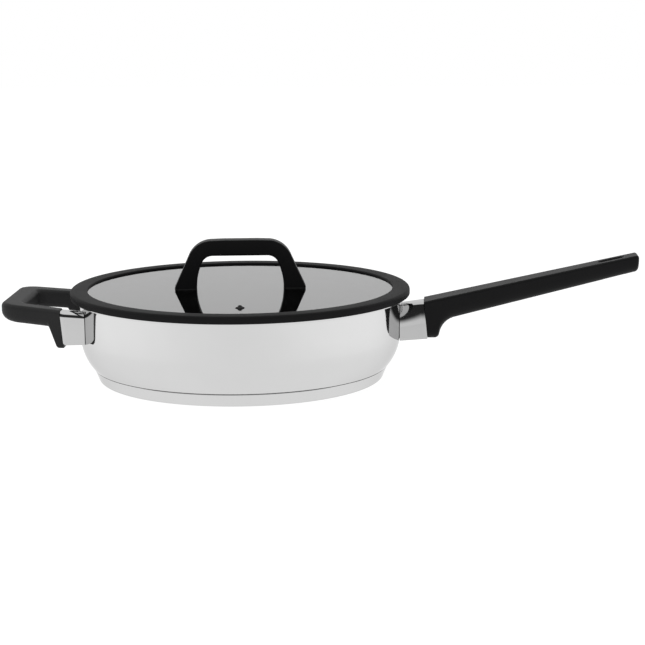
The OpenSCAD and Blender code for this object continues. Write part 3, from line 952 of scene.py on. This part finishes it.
@dataclass
class Sleeve:
    """A steel sleeve between the wall and a grip, drawn towards +X."""

    name: str
    y: float
    width: float
    start: float
    joint: float
    wall_span: Flat
    joint_span: Flat
    low_r: float
    top_r: float
    pivot_z: float
    lean: float
    reaches: Flat = (0.0, 0.0)
    bow_share: float = 0.0
    sheet: float = 1.2
    stand_off: float = 0.35
    flip: bool = False
    least_r: float = 0.6
    roll: float = 0.4
    roll_share: float = 0.3

    def ring(self, inset: float, share: float, trim: float = 0.0) -> Ring:
        """One ring of the sleeve.

        Args:
            inset: How far it is drawn in from the outside.
            share: Its place between the wall, 0, and the joint face, 1.
            trim: How far it is held back from that place, towards the wall.

        Returns:
            The ring.
        """
        half = self.width / 2 - inset
        outlines = []
        low_r, top_r = (max(radius - inset, self.least_r) for radius in (self.low_r, self.top_r))
        for span, reach in zip((self.wall_span, self.joint_span), self.reaches):
            low, high = (self.y - half, span[0] + inset), (self.y + half, span[1] - inset)
            if self.bow_share:
                outlines.append(bowed(low, high, low_r, reach, self.bow_share, top_r))
            else:
                outlines.append(rounded(low, high, (low_r, low_r, top_r, top_r), 10))
        run, tan = self.joint - self.start, slope_of(self.lean)
        ring = []
        for (y0, z0), (y1, z1) in zip(*outlines):
            at_wall = (math.sqrt((WALL_R + self.stand_off) ** 2 - y0**2) - self.start) / run
            at_joint = (run - (z0 - self.pivot_z) * tan) / (run + (z1 - z0) * tan)
            t = at_wall + (at_joint - at_wall) * share - trim / run
            x = self.start + run * t
            ring.append(Vector((-x if self.flip else x, y0 + (y1 - y0) * t, z0 + (z1 - z0) * t)))
        return ring

    def build(self) -> bpy.types.Object:
        """Builds the sleeve.

        Returns:
            The piece.
        """
        roll, middle = self.roll, self.roll_share * self.roll
        outside = [self.ring(0.0, k / 6) for k in range(6)]
        turns = ((0.0, roll), (middle, middle), (roll, 0.0), (self.sheet, 0.0))
        rim = [self.ring(inset, 1.0, trim) for inset, trim in turns]
        inside = [self.ring(self.sheet, k / 4) for k in (3, 2, 1, 0)]
        return loft(self.name, outside + rim + inside, closed=True)


class ScrewSize(Enum):
    """The two sizes of screw: radius and height of the head, and radius of the shank."""

    LARGE = (3.7, 2.4, 2.0)
    SMALL = (3.3, 2.2, 1.9)


@dataclass
class Screw:
    """A screw that stands head down, with a cross recess in its domed head."""

    name: str
    place: Flat
    size: ScrewSize
    head_z: float
    top: float
    crown_share: float = 0.7
    head_edge: float = 0.1
    tip_edge: float = 0.5
    cross_turn: float = 20.0
    cross_overrun: float = 1.0
    cross_depth_share: float = 0.55
    cross_mouth_shares: Flat = (0.62, 0.17)
    cross_floor_shares: Flat = (0.34, 0.09)
    cross_edge_share: float = 0.4

    def build(self) -> bpy.types.Object:
        """Builds the screw.

        Returns:
            The piece.
        """
        head_r, head_h, shank_r = self.size.value
        crown, under = self.crown_share * head_h, self.head_z + head_h
        bows = [math.radians(10 * k) for k in range(10)]
        head = [(head_r * math.sin(a), self.head_z + crown * (1 - math.cos(a))) for a in bows]
        head += [(head_r, under - self.head_edge), (head_r - self.head_edge, under), (shank_r, under)]
        shank = [(shank_r, self.top - self.tip_edge), (shank_r - self.tip_edge, self.top), (0.0, self.top)]
        body = lathe(self.name, head + shank, self.place, 64)
        return carve(body, [self.recess(turn) for turn in (0.0, 90.0)])

    def recess(self, turn: float) -> bpy.types.Object:
        """One bar of the cross, tapered towards its floor.

        Args:
            turn: Its heading, in degrees.

        Returns:
            The cutter.
        """
        head_r, head_h, _ = self.size.value
        spin = Matrix.Rotation(math.radians(turn + self.cross_turn), 3, "Z")
        mouth = (-self.cross_overrun, self.cross_mouth_shares)
        floor = (head_h * self.cross_depth_share, self.cross_floor_shares)
        rings = []
        for z, shares in (mouth, floor):
            a, b = (share * head_r for share in shares)
            corners = rounded((-a, -b), (a, b), (b * self.cross_edge_share,) * 4, 2)
            base = Vector((*self.place, self.head_z + z))
            rings.append([spin @ Vector((x, y, 0)) + base for x, y in corners])
        return loft(f"{self.name}_recess", rings)


@dataclass
class LongHandle(Assembly):
    """The long handle: its sleeve, its grip with the hanging slot, and its screw."""

    # The joint face, and the grip's top line, which rises by an angle
    joint_x: float = 161.4
    joint_low: float = 35.21
    joint_top: float = 67.11
    lean: float = 5.7
    length: float = 182.0
    proud: float = 1.2
    rise: float = 12.4
    # The grip's width and thickness at its root and tip, its edges, and where its sections stand
    root_w: float = 29.0
    tip_w: float = 22.0
    root_t: float = 21.1
    tip_t: float = 14.7
    top_edge: float = 2.4
    low_edge: float = 9.6
    tip_edge: float = 2.8
    section_shares: tuple[float, ...] = (0.2, 0.35, 0.5, 0.65, 0.8, 0.9)
    # Steps of a whole quarter turn of the tip's edge, which ends just short of one
    tip_quarter: float = 8.6
    # The screw block under the grip
    block_start: float = 2.3
    block_end: float = 10.7
    block_slope: float = 76.0
    block_r: float = 4.0
    fillet_r: float = 17.5
    # The hanging slot, and how far beyond a face each of its flares lies and how much wider it is
    slot_length: float = 21.5
    slot_width: float = 7.6
    slot_end: float = 11.0
    slot_flares: tuple[Flat, ...] = ((3.0, 1.6), (0.0, 1.1), (-0.35, 0.55), (-1.1, 0.0))
    # The sleeve: its heights at the wall, its lower and upper edges, and how far its sides bow in
    wall_span: Flat = (33.51, 64.31)
    sleeve_edges: Flat = (2.5, 3.0)
    sleeve_reaches: Flat = (6.4, 3.9)
    sleeve_bow_share: float = 0.72
    # The screw and its pocket, and how much wider and higher each point of its mouth is
    screw_in: float = 6.63
    screw_top: float = 59.2
    head_room: float = 3.3
    seat: float = 41.6
    pocket_r: float = 4.0
    pocket_mouth: tuple[Flat, ...] = ((0.4, -3.0), (0.3, 0.0), (0.0, 0.5))

    def build(self) -> None:
        """Builds the sleeve, the grip and the screw, and dresses the hidden pieces."""
        middle = (self.joint_low + self.joint_top) / 2
        sleeve = Sleeve(
            "handle_sleeve_polished", y=0.0, width=self.root_w, start=WALL_R, joint=self.joint_x,
            wall_span=self.wall_span, joint_span=(self.joint_low, self.joint_top),
            low_r=self.sleeve_edges[0], top_r=self.sleeve_edges[1], pivot_z=middle, lean=self.lean,
            reaches=self.sleeve_reaches, bow_share=self.sleeve_bow_share,
        )
        # Its steel is darkened: painted shade
        self.show(sleeve.build(), Finish.SLEEVE_SHADED, "handle_sleeve")
        # The grip's phenolic is lightened: painted light
        self.show(self.grip(middle), Finish.GRIP, "handle_grip")
        place, head_z = (self.joint_x + self.screw_in, 0.0), self.seat - self.head_room
        screw = Screw("handle_screw_cross", place, ScrewSize.LARGE, head_z, self.screw_top)
        self.show(screw.build(), Finish.SATIN, "handle_screw")
        self.dress(Finish.SATIN, "handle_bracket", "handle_washer")

    def top_z(self, x: float) -> float:
        """Height of the grip's top face at x."""
        return self.joint_top + self.proud + (x - self.joint_x) * slope_of(self.rise)

    def ring(self, x: float, low: float, inset: float = 0.0) -> Ring:
        """One upright section of the grip.

        Args:
            x: Its place.
            low: Height of its underside.
            inset: How far it is drawn in on every side.

        Returns:
            The section.
        """
        half = (self.root_w + (self.tip_w - self.root_w) * (x - self.joint_x) / self.length) / 2 - inset
        low_r, top_r = (max(edge - inset / 2, edge / 2) for edge in (self.low_edge, self.top_edge))
        top = self.top_z(x) - inset
        outline = rounded((-half, low + inset), (half, top), (low_r, low_r, top_r, top_r), 8)
        return [Vector((x, y, z)) for y, z in outline]

    def joint_ring(self, pivot: float, inset: float, ahead: float) -> Ring:
        """A section on the leaning joint face.

        Args:
            pivot: Height at which the face passes through joint_x.
            inset: How far it is drawn in on every side.
            ahead: How far it lies beyond the face.

        Returns:
            The section.
        """
        ring = self.ring(self.joint_x, self.joint_low, inset)
        for _ in range(3):
            xs = [self.joint_x - (p.z - pivot) * slope_of(self.lean) + ahead for p in ring]
            ring = [self.ring(x, self.joint_low, inset)[k] for k, x in enumerate(xs)]
        return ring

    def grip(self, pivot: float) -> bpy.types.Object:
        """The grip with its screw block, pocket and slot.

        Args:
            pivot: Height at which the joint face passes through joint_x.

        Returns:
            The piece.
        """
        tip_x = self.joint_x + self.length
        tip_top = self.top_z(tip_x)
        bar_low = self.joint_top + self.proud - self.root_t
        bar_rise = (tip_top - self.tip_t - bar_low) / self.length
        under = underside(
            (self.joint_x + self.block_start, self.joint_low), self.joint_x + self.block_end,
            self.block_slope, self.block_r, self.fillet_r, (self.joint_x, bar_low), bar_rise,
        )
        shares = (*self.section_shares, 1 - self.tip_edge / self.length)
        under += [(self.joint_x + self.length * s, bar_low + self.length * s * bar_rise) for s in shares]
        rings = [self.joint_ring(pivot, *pair) for pair in JOINT_EDGE]
        rings += [self.ring(x, z) for x, z in under]
        last_x, last_z = under[-1]
        for k in range(1, 9):
            a = math.radians(90 * k / self.tip_quarter)
            ahead, inset = self.tip_edge * math.sin(a), self.tip_edge * (1 - math.cos(a))
            rings.append(self.ring(last_x + ahead, last_z + ahead * bar_rise, inset))
        body = loft("handle_grip_moulded", rings)
        return carve(body, [self.pocket(), self.slot_cutter(tip_x)])

    def pocket(self) -> bpy.types.Object:
        """The pocket of the screw, with a small lead at its mouth.

        Returns:
            The cutter.
        """
        mouth = [(self.pocket_r + wider, self.joint_low + up) for wider, up in self.pocket_mouth]
        profile = [(0.0, mouth[0][1]), *mouth, (self.pocket_r, self.seat), (0.0, self.seat)]
        return lathe("pocket", profile, (self.joint_x + self.screw_in, 0.0), 64)

    def slot_cutter(self, tip_x: float) -> bpy.types.Object:
        """The hanging slot, flared at both faces.

        Args:
            tip_x: Where the grip ends.

        Returns:
            The cutter.
        """
        middle = tip_x - self.slot_end - self.slot_length / 2
        turn = Matrix.Rotation(math.radians(-self.rise), 3, "Y")
        share = (middle - self.joint_x) / self.length
        thick = self.root_t + (self.tip_t - self.root_t) * share
        half = thick / 2 * math.cos(math.radians(self.rise))
        base = Vector((middle, 0.0, self.top_z(middle) - half))
        run = (self.slot_length - self.slot_width) / 2
        levels = [(-half - beyond, flare) for beyond, flare in self.slot_flares]
        levels += [(half + beyond, flare) for beyond, flare in reversed(self.slot_flares)]
        rings = []
        for z, flare in levels:
            radius = self.slot_width / 2 + flare
            outline = arc((run, 0.0), radius, -90, 90, 16) + arc((-run, 0.0), radius, 90, 270, 16)
            rings.append([turn @ Vector((x, y, z)) + base for x, y in outline])
        return loft("slot", rings)


@dataclass
class HelperHandle(Assembly):
    """The looped helper handle on the other side, drawn towards +X and mirrored."""

    # The loop's length, its top line, which rises by an angle, its thickness and its edges
    joint: float = 149.2
    end: float = 203.0
    top: float = 66.91
    rise: float = 5.4
    thick: float = 15.8
    outer_edges: Flat = (8.0, 4.2)
    inner_edges: Flat = (4.5, 4.0)
    edge_power: int = 3
    # The loop in plan
    half_w: float = 56.0
    bar_w: float = 17.0
    bar_y: float = 47.5
    bar_splay: float = 0.4
    bar_reaches: Flat = (18.0, 22.0)
    corner_y: float = 33.0
    corner_r: float = 18.0
    gap_end: float = 184.0
    gap_half: float = 34.0
    gap_r: float = 6.0
    end_shares: Flat = (0.6, 0.2)
    # The feet
    foot_z: float = 34.31
    foot_end: float = 3.0
    foot_slope: float = 67.3
    foot_r: float = 3.0
    foot_edge: float = 3.0
    fillet_r: float = 2.6
    # The sleeves and their joint faces
    lean: float = 5.1
    wall_span: Flat = (36.9, 65.01)
    joint_low: float = 36.5
    sleeve_top: float = 66.21
    joint_clear: float = 0.6
    sleeve_edges: Flat = (3.0, 5.5)
    # The screws and their pockets
    screw_in: float = 5.25
    screw_top: float = 61.0
    seat: float = 51.11
    head_room: float = 3.1
    pocket_r: float = 3.6
    pocket_from: float = 30.0

    def build(self) -> None:
        """Builds the sleeves, the loop and the screws, and dresses the hidden pieces."""
        wall_x = math.sqrt(WALL_R**2 - self.bar_y**2)
        low_r, top_r = self.sleeve_edges
        for side, word in BARS:
            sleeve = Sleeve(
                f"helper_sleeve_{word}_polished", y=side * self.bar_y, width=self.bar_w, start=wall_x,
                joint=self.joint, wall_span=self.wall_span, joint_span=(self.joint_low, self.sleeve_top),
                low_r=low_r, top_r=top_r, pivot_z=self.sleeve_top, lean=-self.lean, flip=True,
            )
            # Their steel is darkened: painted shade
            self.show(sleeve.build(), Finish.SLEEVE_PALE_SHADED, f"helper_sleeve_{word}")
        # The loop's phenolic is lightened: painted light
        self.show(self.grip(), Finish.HELPER_LIT, "helper_grip")
        for side, word in BARS:
            place = self.screw_place(side)
            screw = Screw(f"helper_screw_{word}", place, ScrewSize.SMALL, self.seat, self.screw_top)
            self.show(screw.build(), Finish.SATIN, "helper_screws")
        self.dress(Finish.SATIN, "helper_bracket_front", "helper_bracket_rear", "helper_washers")

    def screw_place(self, side: int) -> Flat:
        """Where the screw of one bar stands."""
        return (-self.joint - self.screw_in, side * self.bar_y)

    def top_z(self, x: float) -> float:
        """Height of the loop's top face at x."""
        return self.top + (x - self.joint) * slope_of(self.rise)

    def outlines(self) -> tuple[list[Flat], list[Flat], list[float]]:
        """The loop in plan, from its joint on the +Y side to the middle of its end bar.

        Returns:
            Matched outer and inner points, and the height of the underside at each.
        """
        corner = (self.end - self.corner_r, self.corner_y)
        gap = (self.gap_end - self.gap_r, self.gap_half - self.gap_r)
        tangent = tangent_angle((self.joint, self.half_w), 0.0, corner, self.corner_r, 1)
        outer_side = ((self.joint, self.half_w), arc(corner, self.corner_r, tangent, tangent, 1)[0])
        inner_side = ((self.joint, self.half_w - self.bar_w), (gap[0], self.gap_half + self.bar_splay))
        bar_rise = slope_of(self.rise)
        under = underside(
            (self.joint, self.foot_z), self.joint + self.foot_end, self.foot_slope, self.foot_r,
            self.fillet_r, (self.joint, self.top - self.thick), bar_rise,
        )
        outer, inner, lows = [], [], []
        bar_xs = [self.joint + reach for reach in self.bar_reaches]
        for x, z in under + [(x, self.top_z(x) - self.thick) for x in bar_xs]:
            share = (x - self.joint) / (gap[0] - self.joint)
            reach = (x - self.joint) / (outer_side[1][0] - self.joint)
            outer.append(between(*outer_side, reach))
            inner.append(between(*inner_side, share))
            lows.append(z)
        turns = 14
        for k in range(turns + 1):
            outer.append(arc(corner, self.corner_r, tangent - tangent * k / turns, 0, 1)[0])
            inner.append(arc(gap, self.gap_r, 90 - 90 * k / turns, 0, 1)[0])
            lows.append(self.top_z((outer[-1][0] + inner[-1][0]) / 2) - self.thick)
        for share in self.end_shares:
            outer.append((self.end, corner[1] * share))
            inner.append((self.gap_end, gap[1] * share))
            lows.append(self.top_z((self.end + self.gap_end) / 2) - self.thick)
        return outer, inner, lows

    def ring(self, outer: Flat, inner: Flat, low: float, inset: float = 0.0) -> Ring:
        """One upright section across the loop's bar.

        Args:
            outer: The section's outer end in plan.
            inner: Its inner end in plan.
            low: Height of its underside.
            inset: How far it is drawn in on every side.

        Returns:
            The section.
        """
        across = Vector((inner[0] - outer[0], inner[1] - outer[1], 0.0))
        width = across.length
        across.normalize()
        middle = (outer[0] + inner[0]) / 2
        bar_low = self.top_z(middle) - self.thick
        height_share = min(1.0, max(0.0, 1 - (bar_low - low) / (bar_low - self.foot_z)))
        share = height_share**self.edge_power
        foot = self.foot_edge
        low_edges = [foot + (edges[0] - foot) * share for edges in (self.outer_edges, self.inner_edges)]
        radii = (*low_edges, self.inner_edges[1], self.outer_edges[1])
        outline = rounded((inset, low + inset), (width - inset, self.top_z(middle) - inset), radii, 8)
        ring = []
        for reach, z in outline:
            point = Vector((outer[0], outer[1], z)) + across * reach
            point.z += (point.x - middle) * slope_of(self.rise)
            ring.append(point)
        return ring

    def joint_ring(self, side: int, inset: float, ahead: float) -> Ring:
        """A section on the leaning joint face of one bar.

        Args:
            side: 1 for the rear bar, -1 for the front bar.
            inset: How far it is drawn in on every side.
            ahead: How far it lies beyond the face.

        Returns:
            The section.
        """
        outer = (self.joint, self.half_w)
        inner = (self.joint, self.half_w - self.bar_w)
        ring = self.ring(outer, inner, self.foot_z, inset)
        tan = slope_of(self.lean)
        return [Vector((self.joint + (p.z - self.sleeve_top) * tan + ahead, side * p.y, p.z)) for p in ring]

    def grip(self) -> bpy.types.Object:
        """The loop with its two feet and the pockets of its screws.

        Returns:
            The piece.
        """
        outer, inner, lows = self.outlines()
        half = [self.ring(o, i, z) for o, i, z in zip(outer, inner, lows)]
        half = [ring for ring in half if min(p.x for p in ring) > self.joint + self.joint_clear]
        rings = [self.joint_ring(1, *pair) for pair in JOINT_EDGE] + half
        other = [[Vector((p.x, -p.y, p.z)) for p in ring] for ring in reversed(half)]
        rings += other + [self.joint_ring(-1, *pair) for pair in reversed(JOINT_EDGE)]
        rings = [[Vector((-p.x, p.y, p.z)) for p in ring] for ring in rings]
        body = loft("helper_grip_moulded", rings)
        radius, low, floor = self.pocket_r, self.pocket_from, self.seat + self.head_room
        profile = [(0.0, low), (radius, low), (radius, floor), (0.0, floor)]
        cutters = [lathe("pocket", profile, self.screw_place(side), 48) for side, _ in BARS]
        return carve(body, cutters)


@dataclass
class GlassLid(Assembly):
    """The glass lid: its ring, its bridge handle, its screws and its vent."""

    body: str = "lid"
    turn: float = 5.2
    # The glass and the ring round it
    glass_low: float = 73.55
    glass_top: float = 77.55
    glass_r: float = 138.258
    glass_gap: float = 0.02
    ring_r: float = 147.458
    band: float = 15.2
    ring_low: float = 72.9
    ring_top: float = 79.2
    low_edge: float = 0.8
    top_edge: float = 2.6
    top_turn: float = 84.0
    inner_edge: float = 1.2
    seat_t: float = 2.0
    seat_edge: float = 0.3
    # The ring's skirt inside the lip
    skirt_r: float = 137.3
    skirt_bend: Flat = (139.2, 69.9)
    skirt_low: float = 62.01
    skirt_t: float = 3.0
    skirt_edge: float = 0.6
    # The bridge handle
    pad_top: float = 78.55
    bridge_top: float = 120.5
    foot_x: float = 47.25
    foot_w: float = 19.1
    foot_share: float = 0.08
    toe_r: float = 0.6
    shoulder: Flat = (24.1, 98.2)
    shoulder_r: float = 22.0
    gap_r: float = 10.0
    side_r: float = 55.0
    bar_t: float = 13.6
    bar_shares: Flat = (0.6, 0.2)
    depth: float = 15.0
    bridge_edges: tuple[float, ...] = (1.0, 1.5, 1.5, 1.0)
    # The screws under the glass
    screw_drop: float = 4.2
    screw_top: float = 89.55
    # The vent: radii, and heights from the glass's lower and upper face
    vent_y: float = 98.76
    vent_below: tuple[Flat, ...] = ((0.9, -1.0), (3.6, -1.0), (3.9, -0.7), (3.9, 0.0), (2.4, 0.0))
    vent_above: tuple[Flat, ...] = (
        (2.4, 0.0), (3.9, 0.0), (3.85, 0.35), (3.3, 0.6), (2.3, 1.0), (1.5, 1.7), (1.25, 2.1), (1.1, 2.2),
        (0.9, 2.1),
    )

    def build(self) -> None:
        """Builds the ring, the bridge, the screws and the vent, and dresses what stays."""
        self.dress(Finish.GLASS, "lid_glass")
        self.ring()
        self.bridge()
        self.vent()
        self.screws()
        self.dress(Finish.RUBBER, "bridge_pads", "lid_seals")
        self.dress(Finish.SATIN, "lid_washers")
        self.dress(Finish.INSERT, "bridge_inserts")

    def turned(self, point: Vector) -> Vector:
        """A point of the lid drawn straight, turned on its seat."""
        return Matrix.Rotation(math.radians(self.turn), 3, "Z") @ point

    def ring(self) -> None:
        """The silicone ring with its groove, its seat and its skirt."""
        inner, groove_r = self.ring_r - self.band, self.glass_r + self.glass_gap
        low, top = self.glass_low - self.glass_gap, self.glass_top + self.glass_gap
        seat = self.glass_low - self.seat_t
        skirt_r, skirt_in = self.skirt_r, self.skirt_r - self.skirt_t
        a, b, c, d = self.low_edge, self.top_edge, self.inner_edge, self.skirt_edge
        profile = (
            arc((self.ring_r - a, self.ring_low + a), a, 270, 360, 6)
            + arc((self.ring_r - b, self.ring_top - b), b, 0, self.top_turn, 12)
            + [((self.ring_r + inner) / 2, self.ring_top)]
            + arc((inner + c, self.ring_top - c), c, 90, 180, 8)
            + [(inner, top), (groove_r, top), (groove_r, low), (inner, low)]
            + [(inner, seat + self.seat_edge), (inner + self.seat_edge, seat), (skirt_in, seat)]
            + [(skirt_in, self.skirt_low + d), (skirt_in + d, self.skirt_low)]
            + [(skirt_r - d, self.skirt_low), (skirt_r, self.skirt_low + d)]
            + [(skirt_r, self.skirt_bend[1]), (self.skirt_bend[0], self.ring_low)]
        )
        self.show(lathe("lid_ring_moulded", profile), Finish.SILICONE, "lid_ring")

    def bridge_outlines(self) -> tuple[list[Flat], list[Flat]]:
        """The bridge from the front, from the foot on the +X side to the middle.

        Returns:
            Matched outer and inner points of x and z.
        """
        toe = (self.foot_x + self.foot_w / 2 - self.toe_r, self.pad_top + self.toe_r)
        tangent = tangent_angle(toe, self.toe_r, self.shoulder, self.shoulder_r, -1)
        bow = (self.foot_x - self.foot_w / 2 - self.side_r, self.pad_top)
        up = self.bridge_top - self.bar_t - self.gap_r - self.pad_top
        turn = math.degrees(math.asin(up / (self.side_r - self.gap_r)))
        corner = arc(bow, self.side_r - self.gap_r, turn, turn, 1)[0]
        outer = arc(toe, self.toe_r, -90, tangent, 8)
        inner = arc(bow, self.side_r, 0, self.foot_share * turn, 8)
        leg = (outer[-1], arc(self.shoulder, self.shoulder_r, tangent, tangent, 1)[0])
        outer += [between(*leg, k / 8) for k in range(1, 8)]
        inner += arc(bow, self.side_r, self.foot_share * turn, turn, 8)[1:-1]
        outer += arc(self.shoulder, self.shoulder_r, tangent, 90, 20)
        inner += arc(corner, self.gap_r, turn, 90, 20)
        for share in self.bar_shares:
            outer.append((self.shoulder[0] * share, self.bridge_top))
            inner.append((corner[0] * share, self.bridge_top - self.bar_t))
        return outer, inner

    def bridge(self) -> None:
        """The bridge handle, swept from foot to foot."""
        half = self.depth / 2
        rings = []
        for (ox, oz), (ix, iz) in zip(*self.bridge_outlines()):
            width = math.hypot(ix - ox, iz - oz)
            outline = rounded((0.0, -half), (width, half), self.bridge_edges, 6)
            run, rise = (ix - ox) / width, (iz - oz) / width
            rings.append([Vector((ox + run * a, b, oz + rise * a)) for a, b in outline])
        rings += [[Vector((-p.x, p.y, p.z)) for p in ring] for ring in reversed(rings)]
        piece = loft("lid_bridge_moulded", [[self.turned(p) for p in ring] for ring in rings])
        self.show(piece, Finish.PHENOLIC, "lid_bridge")

    def vent(self) -> None:
        """The vent in the glass, a small cone with a rounded flange."""
        profile = [(radius, self.glass_low + up) for radius, up in self.vent_below]
        profile += [(radius, self.glass_top + up) for radius, up in self.vent_above]
        place = self.turned(Vector((0.0, -self.vent_y, 0.0)))
        self.show(lathe("vent_moulded", profile, (place.x, place.y), 64), Finish.RUBBER, "vent_grommet")

    def screws(self) -> None:
        """The two screws under the glass."""
        for side, word in ((-1, "left"), (1, "right")):
            place = self.turned(Vector((side * self.foot_x, 0.0, 0.0)))
            head_z = self.glass_low - self.screw_drop
            name = f"lid_screw_{word}"
            screw = Screw(name, (place.x, place.y), ScrewSize.LARGE, head_z, self.screw_top)
            self.show(screw.build(), Finish.SATIN, "lid_screws")


# Studio


@dataclass(frozen=True)
class Lamp:
    """A large soft lamp."""

    name: str
    place: Place
    size: float
    power: float


@dataclass
class Studio:
    """The plain pale studio: world, floor, soft lamps and the camera at the photograph's angle."""

    # The camera, in metres and degrees, with its lens and sensor in millimetres
    distance: float = 1.650
    yaw: float = -3.05
    elevation: float = 10.678
    roll: float = -0.402
    target: Place = (0.0714, 0.0, 0.0471)
    lens: float = 105.54
    sensor: float = 36.0
    sight: float = 50.0
    # The floor: its place, what is seen of it, and how brightly polished pieces mirror it, darker near the
    # pan at its sides as a painted shadow
    floor_half: float = 4.0
    floor_z: float = -0.0005
    floor_level: float = 1.25
    floor_share: float = 0.7
    floor_white: float = 0.9
    front_level: float = 0.93
    near_shadow_level: float = 0.98
    side_level: float = 1.09
    near_shadow_reach: Flat = (0.16, 0.42)
    least_reach: float = 0.0001
    # The world: its light, and the dark part that polished pieces mirror
    ambient: float = 0.62
    dark_level: float = 0.03
    dark_toward: Flat = (0.05, 0.3)
    dark_from: Flat = (0.08, 0.3)
    dark_until: Flat = (0.82, 0.95)
    # The lamps and the point that they face
    soft_lamps: tuple[Lamp, ...] = (
        Lamp("lamp_above", (-0.3, -0.2, 1.6), size=1.6, power=12.0),
        Lamp("lamp_front", (-0.9, -1.5, 1.1), size=1.2, power=4.0),
    )
    lamps_aim: Place = (0.05, 0.0, 0.05)

    def build(self) -> None:
        """Builds the studio."""
        bpy.context.scene.view_settings.view_transform = "Standard"
        self.world()
        self.floor()
        self.lamps()
        self.camera()

    def world(self) -> None:
        """A white world, dimmer as light and, for polished pieces, dark above the camera."""
        world = bpy.data.worlds.new("studio")
        world.use_nodes = True
        bpy.context.scene.world = world
        graph = Graph(world.node_tree)
        camera, glossy, through = graph.rays("Camera", "Glossy", "Transmission")
        share = graph.capped(camera + glossy + through)
        _, ahead, up = graph.parts(graph.node("ShaderNodeTexCoord", output="Generated"))
        toward = ahead * -1.0
        height = graph.ease(up, *self.dark_from) * (1.0 - graph.ease(up, *self.dark_until))
        dark = graph.ease(toward, *self.dark_toward) * height
        dim, full, black = (
            graph.node("ShaderNodeBackground", inputs={"Color": (1.0, 1.0, 1.0, 1.0), "Strength": level})
            for level in (self.ambient, 1.0, self.dark_level)
        )
        room = graph.mix(dark * glossy, full, black)
        graph.end("ShaderNodeOutputWorld", graph.mix(share, dim, room))

    def floor(self) -> None:
        """A white floor that keeps the pan's soft shadow and is clear from below.

        Polished pieces mirror it brighter to its sides, and darker near the pan there, a painted shadow.
        """
        half = self.floor_half
        mesh = bpy.data.meshes.new("studio_floor")
        corners = [(x * half, y * half, self.floor_z) for x, y in ((-1, -1), (1, -1), (1, 1), (-1, 1))]
        mesh.from_pydata(corners, [], [(0, 1, 2, 3)])
        floor = add("studio_floor", mesh)
        material = bpy.data.materials.new("studio_white")
        material.use_nodes = True
        mesh.materials.append(material)
        graph = Graph(material.node_tree)
        x, y, _ = graph.parts(graph.node("ShaderNodeTexCoord", output="Object"))
        reach = x * x + y * y + self.least_reach
        sides, away = x * x / reach, graph.ease(reach**0.5, *self.near_shadow_reach)
        glossy, through = graph.rays("Glossy", "Transmission")
        mirrored = graph.capped(glossy + through)
        # Mirrored, the floor is darker near the pan at its sides: a painted shadow
        front, near_shadow, side, plain = (
            graph.node("ShaderNodeEmission", inputs={"Color": (*grey(level), 1.0), "Strength": 1.0})
            for level in (self.front_level, self.near_shadow_level, self.side_level, self.floor_level)
        )
        white = graph.node("ShaderNodeBsdfDiffuse", inputs={"Color": (*grey(self.floor_white), 1.0)})
        seen = graph.mix(self.floor_share, white, plain)
        shown = graph.mix(sides, front, graph.mix(away, near_shadow, side))
        below = graph.node("ShaderNodeNewGeometry", output="Backfacing")
        clear = graph.node("ShaderNodeBsdfTransparent")
        surface = graph.mix(below, graph.mix(mirrored, seen, shown), clear)
        graph.end("ShaderNodeOutputMaterial", surface)

    def lamps(self) -> None:
        """Large soft lamps above and beside the pan, which polished pieces don't mirror."""
        for lamp in self.soft_lamps:
            light = bpy.data.lights.new(lamp.name, "AREA")
            light.energy, light.size = lamp.power, lamp.size
            holder = add(lamp.name, light)
            holder.location = lamp.place
            ahead = Vector(self.lamps_aim) - Vector(lamp.place)
            holder.rotation_euler = ahead.to_track_quat("-Z", "Y").to_euler()
            holder.visible_glossy = holder.visible_camera = holder.visible_transmission = False

    def camera(self) -> None:
        """The camera, level with the photograph's."""
        yaw, rise, roll = (math.radians(angle) for angle in (self.yaw, self.elevation, self.roll))
        ahead = Vector((math.sin(yaw) * math.cos(rise), math.cos(yaw) * math.cos(rise), -math.sin(rise)))
        right = Vector((math.cos(yaw), -math.sin(yaw), 0.0))
        up = right.cross(ahead)
        right, up = (
            math.cos(roll) * right + math.sin(roll) * up,
            math.cos(roll) * up - math.sin(roll) * right,
        )
        lens = bpy.data.cameras.new("camera")
        lens.lens, lens.sensor_width, lens.clip_end = self.lens, self.sensor, self.sight
        camera = add("camera", lens)
        turn = Matrix((right, up, -ahead)).transposed().to_4x4()
        camera.matrix_world = Matrix.Translation(Vector(self.target) - ahead * self.distance) @ turn
        bpy.context.scene.camera = camera


def main() -> None:
    """Builds the sub-assemblies and the studio."""
    logging.basicConfig(level=logging.INFO, format="%(message)s", stream=sys.stdout)
    finishes = Finishes()
    for kind in (PanBody, LongHandle, HelperHandle, GlassLid):
        kind(finishes).build()
    Studio().build()


if __name__ == "__main__":
    main()
